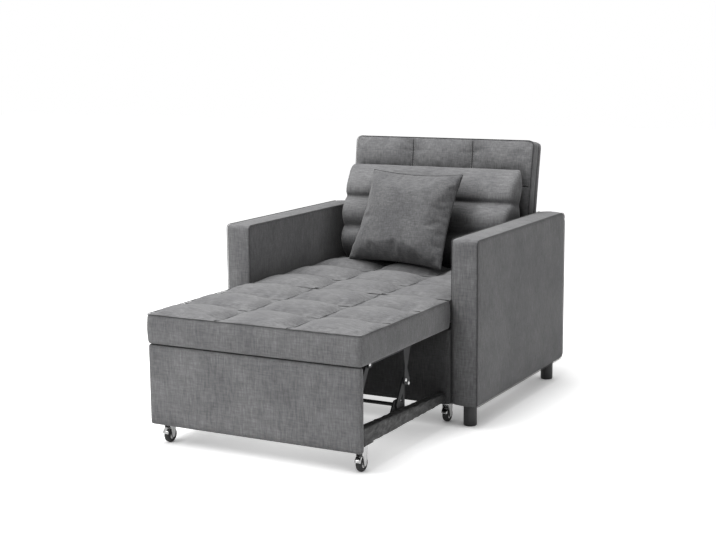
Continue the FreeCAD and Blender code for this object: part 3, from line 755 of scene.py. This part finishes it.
def spun(name, profile, centre, axis, material, body, segments=48):
    """A turned piece: the (radius, along) profile spun round an axis through its centre."""
    turn = UP.rotation_difference(Vector(axis)).to_matrix()
    coords = []
    for k in range(segments):
        angle = 2 * math.pi * k / segments
        for radius, along in profile:
            local = Vector((radius * math.cos(angle), radius * math.sin(angle), along))
            coords.append(Vector(centre) + turn @ local)
    rows = len(profile)
    faces = []
    for k in range(segments):
        for j in range(rows - 1):
            a = k * rows + j
            b = ((k + 1) % segments) * rows + j
            faces.append((a, b, b + 1, a + 1))
    obj = make_object(name, coords, faces, material, body)
    weld = obj.modifiers.new("weld", "WELD")
    weld.merge_threshold = 0.00001
    return obj


# Mattress: the seat and the front section that folds out

def mattress_height(edge, columns, rows, seed):
    """Height of the tufted top: vaults between the seams, which sink in away from the pad's edge."""
    def height(u, v):
        across = dome(cell_share(u, columns), 2.2)
        along = dome(cell_share(v, rows), 2.0)
        wave = 0.0006 * ripple((u, v, 0), 12, seed)
        from_edge = min(u - columns[0], columns[-1] - u, v - rows[0], rows[-1] - v)
        hollow = SEAM_DEPTH * min(1.0, from_edge / SEAM_FADE)
        return edge - hollow + (TUFT_CROWN + SEAM_DEPTH) * across * along + wave * across
    return height


def mattress_section(name, node, body, rows, seed):
    low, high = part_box(node)
    half = high.x
    columns = (-half, -SEAT_COLUMN_SEAM, SEAT_COLUMN_SEAM, half)
    limits = (-half + MATTRESS_GAP, half - MATTRESS_GAP, rows[0], rows[-1])
    front_corner = SOFT_CORNER if body == "front_leaf" else FIRM_CORNER
    radii = (front_corner, front_corner, HINGE_CORNER, HINGE_CORNER)
    pad, surface, us, vs = slab(
        name, limits, radii, lambda u, v: low.z + MATTRESS_FOOT,
        mattress_height(high.z - TUFT_CROWN, columns, rows, seed), FLAT, body, grey_fabric,
        marks=(columns[1:-1], rows[1:-1]), band=6, swell=0.0035, pressure=(3.0, 0.02, 0.006, 0.9), seed=seed)
    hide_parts(node)
    ring = [point + UP * PIPING_LIFT for point in border(surface, us, vs)]
    # Piping in the darker fabric: a painted shade line along the mattress edge
    tube(name + "_piping", ring, PIPING_RADIUS, painted_shade_fabric, body, closed=True)
    lines = []
    for mark in columns[1:-1]:
        i = nearest(us, mark)
        spots = [(i, j) for j in range(1, len(vs) - 1)]
        for side in (-1, 1):
            lines.append(stitch_line(surface, spots, (side, 0), UP * STITCH_LIFT))
        seam = column_seam(surface, i, vs, UP * SEAM_LIFT)
        # Seam cord in the darker fabric: painted shade in the seam's valley
        tube("%s_seam_%d" % (name, i), seam, SEAM_RADIUS, painted_shade_fabric, body)
    for mark in rows[1:-1]:
        j = nearest(vs, mark)
        seam = row_seam(surface, j, us, UP * SEAM_LIFT)
        # Row seam cord in the darker fabric: painted shade in the seam's valley
        tube("%s_row_%d" % (name, j), seam, ROW_SEAM_RADIUS, painted_shade_fabric, body)
    stitches(name + "_stitches", lines, body)


seat_low, seat_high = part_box("seat_cushion")
leaf_low, leaf_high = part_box("leaf_cushion")
seams_start = seat_low.y - MATTRESS_GAP
seat_rows = (seat_low.y, *[seams_start + number * TUFT_ROW for number in (1, 2, 3)], seat_high.y)
leaf_rows = (leaf_low.y, *[leaf_low.y + number * TUFT_ROW for number in (1, 2)], leaf_high.y)
mattress_section("seat_mattress", "seat_cushion", "chair", seat_rows, 3.1)
mattress_section("front_mattress", "leaf_cushion", "front_leaf", leaf_rows, 8.4)


# Backrest, built lying on its hinge line and then raised

def back_height(u, v):
    """Front face of the back: flat tufts between the seams."""
    columns = (-BACK_HALF_WIDTH, -BACK_COLUMN_SEAM, BACK_COLUMN_SEAM, BACK_HALF_WIDTH)
    rows = (-BACK_LOWER_END, BACK_ROWS[0], BACK_ROWS[1], BACK_UPPER_END)
    across = dome(cell_share(u, columns))
    along = dome(cell_share(v, rows), 2.2)
    from_edge = min(BACK_HALF_WIDTH - abs(u), BACK_UPPER_END - v, v + BACK_LOWER_END)
    hollow = 0.002 + SEAM_DEPTH * min(1.0, from_edge / SEAM_FADE)
    return BACK_FRONT_FACE - hollow + BACK_CROWN * across * along + 0.001 * ripple((u, v, 0), 20, 5.0)


def backrest():
    radii = (BACK_LOWER_CORNER, BACK_LOWER_CORNER, BACK_CORNER, BACK_CORNER)
    columns = (-BACK_COLUMN_SEAM, BACK_COLUMN_SEAM)
    pad, surface, us, vs = slab(
        "backrest_pad", BACK_LIMITS, radii, lambda u, v: -BACK_PAD_REAR, back_height, LEANING, "back",
        grey_fabric, band=5, swell=0.001, seed=4.2, marks=(columns, BACK_ROWS),
        pressure=(3.0, 0.015, 0.008, 0.9), draw_in=BACK_WAIST)
    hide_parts("backrest_cushion")
    ring = border(surface, us, vs)
    # Piping in the darker fabric: a painted shade line along the back's edge
    tube("backrest_piping", ring, PIPING_RADIUS, painted_shade_fabric, "back", closed=True)
    forward = LEANING.to_3x3() @ (UP * SEAM_LIFT)
    column_places = [nearest(us, mark) for mark in columns]
    row_places = [nearest(vs, mark) for mark in BACK_ROWS]
    lines = []
    for i in column_places:
        spots = [(i, j) for j in range(1, len(vs) - 3)]
        lines += [stitch_line(surface, spots, (side, 0), forward) for side in (-1, 1)]
    for j in row_places:
        spots = [(i, j) for i in range(1, len(us) - 1)]
        lines += [stitch_line(surface, spots, (0, side), forward) for side in (-1, 1)]
    stitches("backrest_stitches", lines, "back")
    # Seam cords in the darker fabric: painted shade in the seams' valleys
    for i in column_places:
        seam = column_seam(surface, i, vs, forward)
        tube("backrest_seam_%d" % i, seam, SEAM_RADIUS, painted_shade_fabric, "back")
    for j in row_places:
        seam = row_seam(surface, j, us, forward)
        tube("backrest_row_%d" % j, seam, SEAM_RADIUS, painted_shade_fabric, "back")


def back_shell():
    radii = (SHELL_CORNER, SHELL_CORNER, BACK_CORNER, BACK_CORNER)

    def rear(u, v):
        edge = min(BACK_HALF_WIDTH - abs(u), BACK_UPPER_END - v, v + BACK_LOWER_END)
        soften = max(0.0, 1 - edge / SHELL_ROUNDING)
        return -BACK_REAR_FACE + SHELL_ROUND_DEPTH * soften ** 2 - 0.0012 * ripple((u, v, 0), 9, 2.0)

    shell = slab(
        "back_rear_shell", BACK_LIMITS, radii, rear, lambda u, v: -BACK_PAD_REAR - SHELL_GAP, LEANING,
        "back", grey_fabric, band=3, swell=0.001, seed=6.0, draw_in=BACK_WAIST)[0]
    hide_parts("backrest_rear_cover")


backrest()
back_shell()


# Lumbar cushion: three channels with seams between them, and thin ends

def channel(v):
    """Number of the channel at v, from 0 at the bottom, and the share of its height."""
    for number, (start, end) in enumerate(zip(LUMBAR_SEAMS, LUMBAR_SEAMS[1:])):
        if v <= end or number == 2:
            return number, (v - start) / (end - start)


def lumbar_front(u, v):
    """Front face: fuller channels low down, a flatter one at the top, thin at the ends."""
    number, share = channel(v)
    level = LUMBAR_LEVELS[number] * (1 - share) + LUMBAR_LEVELS[number + 1] * share
    skewed = share ** 0.8 if number == 2 else share
    bulge = LUMBAR_CRESTS[number] * dome(skewed, 2.0) ** 0.8
    end = max(0.0, 1 - (LUMBAR_HALF_WIDTH - abs(u)) / LUMBAR_END)
    fullness = math.sqrt(max(0.0, 1 - end ** 2.4))
    return LUMBAR_MIDDLE + (level + bulge - LUMBAR_MIDDLE) * fullness + 0.002 * ripple((u, v, 0), 16, 7.0)


def lumbar_rear(u, v):
    """Rear face: flat against the back, and rounded at the ends, foot and crown."""
    end = max(0.0, 1 - (LUMBAR_HALF_WIDTH - abs(u)) / 0.050)
    foot = max(0.0, 1 - (v - LUMBAR_SEAMS[0]) / 0.036)
    crown = max(0.0, (v - LUMBAR_SEAMS[3] + 0.07) / 0.07)
    return LUMBAR_REAR + 0.030 * end ** 2 + 0.024 * foot ** 2 + 0.020 * crown ** 2


def lumbar():
    limits = (-LUMBAR_HALF_WIDTH, LUMBAR_HALF_WIDTH, LUMBAR_SEAMS[0], LUMBAR_SEAMS[3])
    radii = (LUMBAR_LOWER_CORNER, LUMBAR_LOWER_CORNER, LUMBAR_UPPER_CORNER, LUMBAR_UPPER_CORNER)
    seams = LUMBAR_SEAMS[1:3]
    pad, surface, us, vs = slab(
        "lumbar_pad", limits, radii, lumbar_rear, lumbar_front, LEANING, "lumbar", grey_fabric,
        marks=((), seams), band=4, swell=0.004, pressure=(2.6, 0.035, 0.009, None), seed=9.0,
        scallop=lambda v: LUMBAR_TUCK * (1 - dome(channel(v)[1], 2.0)))
    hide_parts("lumbar_cushion")
    forward = LEANING.to_3x3() @ (UP * STITCH_LIFT)
    for mark in seams:
        j = nearest(vs, mark)
        line = [surface[i, j] + forward for i in range(2, len(us) - 2)]
        # Seam cord in the darker fabric: painted shade in the seam between channels
        tube("lumbar_seam_%d" % j, line, 2 * SEAM_RADIUS, painted_shade_fabric, "lumbar")


lumbar()


# Throw pillow: two sheets sewn at their edges, blown up, then set askew against the lumbar cushion

def pillow_spots():
    """Flat outline grid: (x, z, s, t) with s and t from -1 to 1, narrower at the top and drawn in."""
    low = PILLOW_LOWER_WIDTH / 2
    high = PILLOW_UPPER_WIDTH / 2
    spots = []
    for i in range(PILLOW_GRID):
        for j in range(PILLOW_GRID):
            s = 2 * i / (PILLOW_GRID - 1) - 1
            t = 2 * j / (PILLOW_GRID - 1) - 1
            half = (low + high) / 2 + (high - low) / 2 * t - PILLOW_WAIST * (1 - t * t)
            z = (PILLOW_HEIGHT / 2 - PILLOW_WAIST * (1 - s * s)) * t
            spots.append((s * half + PILLOW_SKEW / 2 * t, z, s, t))
    return spots


def throw_pillow():
    crown = (PILLOW_THICKNESS - PILLOW_SPARE_THICKNESS) / 2
    spots = pillow_spots()
    ring = ring_of(PILLOW_GRID, PILLOW_GRID)
    sheets = []
    for side in (-1, 1):
        sheet = []
        for x, z, s, t in spots:
            fullness = ((1 - s ** 4) * (1 - t ** 4)) ** 0.55
            crease = 1 + 0.04 * ripple((x, z, side), 7, 11.0) * fullness
            sheet.append(Vector((x, side * (PILLOW_SEAM_GAP + crown * fullness * crease), z)))
        faces = grid_faces(PILLOW_GRID, PILLOW_GRID, 0, side > 0)
        sheets.append(puffed(sheet, faces, {1.0: set(ring)}, 2.4, 0.025, 0.011))
    place = Matrix.Translation(Vector(PILLOW_CENTRE))
    place = place @ Matrix.Rotation(math.radians(PILLOW_TURN), 4, "Z")
    place = place @ Matrix.Rotation(math.radians(-PILLOW_LEAN), 4, "X")
    coords = [place @ point for point in sheets[0] + sheets[1]]
    faces = two_sheets(PILLOW_GRID, PILLOW_GRID)
    pillow = make_object("throw_pillow_pad", coords, faces, pillow_fabric, "pillow")
    subdivide(pillow)
    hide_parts("throw_pillow")
    edge = [place @ ((sheets[0][index] + sheets[1][index]) / 2) for index in ring]
    # Edge seam in the darker fabric: a painted shade line round the pillow
    tube("pillow_edge_seam", edge, PILLOW_SEAM_RADIUS, painted_shade_fabric, "pillow", closed=True)


throw_pillow()


# Arms

def arm(side, name, node):
    """Padded arm box, built standing on its side edge; side is 1 for the right arm and -1 for the left."""
    low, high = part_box(node)
    limits = (low.y, high.y, low.z, high.z)
    radii = (ARM_FOOT_CORNER, ARM_CORNER, ARM_CORNER, ARM_FRONT_CORNER)

    def wall(level, outward, seed, tuck, fill):
        def height(u, v):
            inside = min(u - low.y, high.y - u, v - low.z, high.z - v)
            fullness = 1 - math.exp(-max(0.0, inside) / ARM_EDGE_SOFTNESS)
            sag = 0.0015 * ripple((u, v, 0), 6, seed) + 0.0007 * ripple((u * 0.3, v, 0), 26, seed)
            return level + outward * ((tuck + fill) * fullness - tuck + min(fill, sag) * fullness)
        return height

    below, above = (ARM_INNER_FACE, ARM_OUTER_FACE) if side > 0 else (ARM_OUTER_FACE, ARM_INNER_FACE)
    pad, surface, us, vs = slab(
        name, limits, radii, wall(low.x, -1, 3.0 + side, *below), wall(high.x, 1, 5.0 + side, *above),
        SIDEWAYS, "chair", grey_fabric, band=8, swell=0.0035, seed=2.0 * side, step=ARM_STEP)
    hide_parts(node)
    # Piping in the darker fabric: painted shade lines along the arm's edges
    for face, level in (("high", high.x - above[0]), ("low", low.x + below[0])):
        edge = [Vector((level, point.y, point.z)) for point in border(surface, us, vs)]
        tube(name + "_" + face + "_piping", edge, PIPING_RADIUS, painted_shade_fabric, "chair", closed=True)


arm(1, "arm_pad_right", "arm_cover_right")
arm(-1, "arm_pad_left", "arm_cover_left")


# Covered boards: front panel, rear panel, drawer wall and the velvet side rails

def upright_board(name, node, body, material, fullness, radius, seed, overlap=0.0):
    """A covered board across the chair; w is measured forwards, and overlap is cloth past its ends."""
    low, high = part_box(node)
    low.x -= overlap
    high.x += overlap
    limits = (low.x, high.x, low.z, high.z)

    def front(u, v):
        inside = min(u - low.x, high.x - u, v - low.z, high.z - v)
        soft = 1 - math.exp(-max(0.0, inside) / BOARD_EDGE_SOFTNESS)
        return -low.y - radius + radius * soft + fullness * soft * (0.6 + 0.6 * ripple((u, v, 0), 7, seed))

    board = slab(
        name, limits, (BOARD_CORNER,) * 4, lambda u, v: -high.y, front, FRONTWAYS, body, material,
        band=3, swell=0.0012, seed=seed, step=BOARD_STEP)[0]
    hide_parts(node)


upright_board("front_panel_pad", "front_panel_cover", "drawer", grey_fabric, 0.0015, 0.004, 2.0)
upright_board("rear_panel_pad", "rear_panel", "chair", grey_fabric, 0.001, 0.004, 12.0)
# Drawer wall covered in the darker fabric: painted shade, as it sits deep under the seat
upright_board("drawer_wall_shaded_cover", "drawer_wall", "drawer", painted_shade_fabric, 0.0012, 0.003, 14.0,
              WALL_OVERLAP)


def wall_return(side, name):
    """Covered edge that the drawer wall turns back along the arm."""
    low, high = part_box("drawer_wall")
    outer = high.x + WALL_OVERLAP
    faces = [(0, 1, 2, 3), (7, 6, 5, 4), (0, 4, 5, 1), (1, 5, 6, 2), (2, 6, 7, 3), (3, 7, 4, 0)]
    coords = []
    rear = high.y + RETURN_DEPTH
    for x in (side * (outer - RETURN_THICKNESS), side * outer):
        for y, z in ((high.y, low.z), (rear, low.z), (rear, high.z), (high.y, high.z)):
            coords.append((x, y, z))
    if side > 0:
        faces = [face[::-1] for face in faces]
    edge = make_object(name, coords, faces, black_lining, "drawer", smooth=False)
    bevel = edge.modifiers.new("soft_edges", "BEVEL")
    bevel.width = 0.0008
    bevel.segments = 2


wall_return(1, "drawer_wall_return_right")
wall_return(-1, "drawer_wall_return_left")


def squared(value):
    """A cosine or sine made blunter, so that a round section becomes nearly a rectangle."""
    return math.copysign(abs(value) ** RAIL_SQUARENESS, value)


def velvet_rail(side, name, node):
    """Tapered plank under loose black velvet that puckers along its length."""
    low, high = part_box(node)
    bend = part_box("drawer_wall")[0].y
    us = spaced(low.y, high.y, (), RAIL_STEP)
    rows = RAIL_ROUND_POINTS
    coords = []
    middle = (low.x + high.x) / 2
    half = (high.x - low.x) / 2
    for y in us:
        top = high.z - RAIL_TAPER * min(1.0, (y - low.y) / (bend - low.y))
        centre = (top + low.z) / 2
        tall = (top - low.z) / 2
        for k in range(rows):
            angle = 2 * math.pi * k / rows
            cx = squared(math.cos(angle))
            cz = squared(math.sin(angle))
            fold = RAIL_LARGE_FOLD * ripple((y, angle * 0.05, side), 42, 3.0)
            fold += RAIL_SMALL_FOLD * ripple((y, cz * 0.05, side), 95, 9.0)
            reach = fold - RAIL_SKIN
            coords.append(Vector((middle + cx * (half + reach), y, centre + cz * (tall + reach))))
    faces = []
    for i in range(len(us) - 1):
        for k in range(rows):
            a = i * rows + k
            b = i * rows + (k + 1) % rows
            faces.append((a, b, b + rows, a + rows))
    faces.append(tuple(range(rows))[::-1])
    faces.append(tuple((len(us) - 1) * rows + k for k in range(rows)))
    rail = make_object(name, coords, faces, black_velvet, "drawer")
    subdivide(rail)
    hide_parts(node)


velvet_rail(1, "velvet_rail_right", "side_rail_right")
velvet_rail(-1, "velvet_rail_left", "side_rail_left")


# Feet, castors, rivets

def feet():
    """Four turned plastic feet with a rounded sole; one stands for the CAD feet."""
    low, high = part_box("feet")
    profile = [(0, 0), (FOOT_RADIUS - 0.0045, 0), (FOOT_RADIUS - 0.0015, 0.001), (FOOT_RADIUS, 0.004),
               (FOOT_RADIUS, high.z - 0.006), (FOOT_RADIUS - 0.001, high.z - 0.003),
               (FOOT_RADIUS - 0.001, high.z), (0, high.z)]
    number = 0
    for x in (low.x + FOOT_RADIUS, high.x - FOOT_RADIUS):
        for y in (low.y + FOOT_RADIUS, high.y - FOOT_RADIUS):
            number += 1
            foot = spun("foot_%d" % number, profile, (x, y, 0), UP, black_plastic, "chair")
            if number == 1:
                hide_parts("feet")


def both_faces(profile):
    """A wheel's half profile, from one face to its middle, with its mirror image after it."""
    return profile + [(radius, -along) for radius, along in reversed(profile)]


def castor(row, side):
    """Tyre and dished steel hub of one wheel."""
    node = "%s_castor_wheel_%s" % (row, side)
    body = "%s_%s_wheel" % (row, side)
    low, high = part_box(node)
    centre = (low + high) / 2
    half = (high.x - low.x) / 2
    radius = (high.z - low.z) / 2
    hub = HUB_SHARE * radius
    tread = [(hub, -half), (hub + 0.0045, -half), (radius - 0.0035, -half + 0.0008),
             (radius - 0.0012, -half + 0.003), (radius, -half + 0.006)]
    spun(node + "_tyre", both_faces(tread), centre, (1, 0, 0), tyre_rubber, body)
    disc = [(WHEEL_BORE, -half + 0.0005), (0.006, -half + 0.0005), (0.0075, -half + 0.0025),
            (hub - 0.002, -half + 0.0035), (hub + 0.0003, -half + 0.001)]
    wheel = spun(node + "_hub", both_faces(disc), centre, (1, 0, 0), plated_steel, body)
    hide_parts(node)


def castor_hood(row, side):
    """Plated fender that is bent over the wheel's front, between the fork's cheeks."""
    low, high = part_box("%s_castor_wheel_%s" % (row, side))
    centre = (low + high) / 2
    radius = (high.z - low.z) / 2 + HOOD_GAP
    half = (high.x - low.x) / 2 + HOOD_SIDE_GAP
    across = ((-half, 0.0), (-half * 0.6, HOOD_SHEET), (half * 0.6, HOOD_SHEET), (half, 0.0))
    coords = []
    for layer in (0.0, HOOD_SHEET):
        for k in range(HOOD_STEPS + 1):
            angle = math.radians(HOOD_START + HOOD_SWEEP * k / HOOD_STEPS)
            for x, crown in across:
                reach = radius + crown + layer
                y = centre.y - reach * math.cos(angle)
                coords.append((centre.x + x, y, centre.z + reach * math.sin(angle)))
    faces = two_sheets(HOOD_STEPS + 1, len(across))
    make_object("%s_castor_hood_%s" % (row, side), coords, faces, plated_steel, "drawer")


def rivets():
    """Bright domed heads on both faces of the lift linkage's pins."""
    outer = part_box("lift_side_bars")[1].x
    head = [(0, 0.0032), (0.0028, 0.0029), (0.0052, 0.0018), (0.0066, 0.0002), (0.0066, -0.0004),
            (0, -0.0004)]
    knuckle = Vector(joints["lift_frame_level"]["pos_m"])
    lower = Vector(joints["lift_front_fold"]["pos_m"])
    middle = Vector(joints["lift_fold"]["pos_m"])
    number = 0
    for spot in (knuckle, lower + knuckle - middle, CATCH_PIN):
        for side in (-1, 1):
            number += 1
            spun("rivet_%d" % number, head, (side * outer, spot.y, spot.z), (side, 0, 0), plated_steel,
                 "lift_frame", 20)


feet()
for row in ("front", "rear"):
    for side in ("left", "right"):
        castor(row, side)
        castor_hood(row, side)
rivets()


# Finishes of the CAD pieces that stay

FINISHES = {"timber": timber, "black_steel": black_steel, "bright_steel": plated_steel, "webbing": webbing,
            "black_plastic": black_plastic, "black_cloth": black_lining, "fabric": grey_fabric,
            "tyre": tyre_rubber}
LINED_BOARDS = ("leaf_board", "front_panel_board", "rear_beam")
for part in frame["record"]["subparts"]:
    node = frame["nodes"][part["node"]]
    finish = black_lining if part["node"] in LINED_BOARDS else FINISHES[part["material_slot"]]
    for index in range(len(node.material_slots)):
        node.material_slots[index].link = "OBJECT"
        node.material_slots[index].material = finish


# Studio: floor, lamps, sky and camera

def pale_for_camera(nodes, links, shaded, strength):
    """White as seen straight on or mirrored, and the shaded surface besides, so that its shadow stays."""
    glow = nodes.new("ShaderNodeEmission")
    seen = maths(nodes, links, "MULTIPLY", seen_directly(nodes, links), strength)
    links.new(seen, glow.inputs["Strength"])
    add = nodes.new("ShaderNodeAddShader")
    links.new(shaded, add.inputs[0])
    links.new(glow.outputs[0], add.inputs[1])
    return add.outputs[0]


def floor():
    """Pale floor whose glow fades near the chair by ambient occlusion: a painted contact shadow."""
    size = FLOOR_REACH
    coords = [(-size, -size, 0), (size, -size, 0), (size, size, 0), (-size, size, 0)]
    mesh = bpy.data.meshes.new("floor")
    mesh.from_pydata(coords, [], [(0, 1, 2, 3)])
    material, nodes, links, shader = new_material("pale_floor")
    # Painted contact shadow: ambient occlusion dims the floor's glow near the chair
    painted_shadow_node = nodes.new("ShaderNodeAmbientOcclusion")
    painted_shadow_node.inputs["Distance"].default_value = SHADOW_REACH
    glow_with_painted_shadow = maths(nodes, links, "POWER", painted_shadow_node.outputs["AO"], SHADOW_POWER)
    glow_with_painted_shadow = maths(nodes, links, "MULTIPLY", glow_with_painted_shadow, FLOOR_GLOW)
    shader.inputs["Base Color"].default_value = (0.86, 0.86, 0.86, 1)
    shader.inputs["Roughness"].default_value = 0.9
    shader.inputs["Specular IOR Level"].default_value = 0.1
    output = nodes["Material Output"]
    links.new(pale_for_camera(nodes, links, shader.outputs[0], glow_with_painted_shadow), output.inputs["Surface"])
    mesh.materials.append(material)
    obj = bpy.data.objects.new("floor", mesh)
    bpy.context.scene.collection.objects.link(obj)


def sky():
    """White background, dimmer for the light that it sheds."""
    world = bpy.data.worlds.new("studio")
    world.use_nodes = True
    nodes = world.node_tree.nodes
    links = world.node_tree.links
    nodes["Background"].inputs["Color"].default_value = (1, 1, 1, 1)
    seen = seen_directly(nodes, links)
    strength = maths(nodes, links, "MULTIPLY_ADD", seen, 1 - SKY_STRENGTH, SKY_STRENGTH)
    links.new(strength, nodes["Background"].inputs["Strength"])
    bpy.context.scene.world = world


def lamp(name, place, size, power):
    """Round soft lamp, turned to the chair."""
    light = bpy.data.lights.new(name, "AREA")
    light.shape = "DISK"
    light.size = size
    light.energy = power
    obj = bpy.data.objects.new(name, light)
    obj.location = place
    obj.rotation_euler = (Vector(AIM) - Vector(place)).to_track_quat("-Z", "Y").to_euler()
    bpy.context.scene.collection.objects.link(obj)


def camera():
    """The photograph's camera, turned by azimuth, elevation and roll."""
    azimuth = math.radians(CAMERA_AZIMUTH)
    elevation = math.radians(CAMERA_ELEVATION)
    roll = math.radians(CAMERA_ROLL)
    back = Vector((math.sin(azimuth) * math.cos(elevation), -math.cos(azimuth) * math.cos(elevation),
                   math.sin(elevation)))
    right = Vector((math.cos(azimuth), math.sin(azimuth), 0))
    up = back.cross(right)
    tilted_right = right * math.cos(roll) + up * math.sin(roll)
    tilted_up = up * math.cos(roll) - right * math.sin(roll)
    data = bpy.data.cameras.new("camera")
    data.lens = CAMERA_LENS
    data.sensor_width = SENSOR_WIDTH
    obj = bpy.data.objects.new("camera", data)
    turn = Matrix((tilted_right, tilted_up, back)).transposed().to_4x4()
    obj.matrix_world = Matrix.Translation(CAMERA_PLACE) @ turn
    bpy.context.scene.collection.objects.link(obj)
    bpy.context.scene.camera = obj


floor()
sky()
lamp("key_lamp", (-1.6, -2.8, 3.0), 2.2, 84)
lamp("top_lamp", (-0.3, -0.4, 3.8), 2.4, 120)
lamp("side_lamp", (3.2, -0.8, 2.2), 2.4, 6)
camera()
bpy.context.scene.view_settings.view_transform = "Standard"
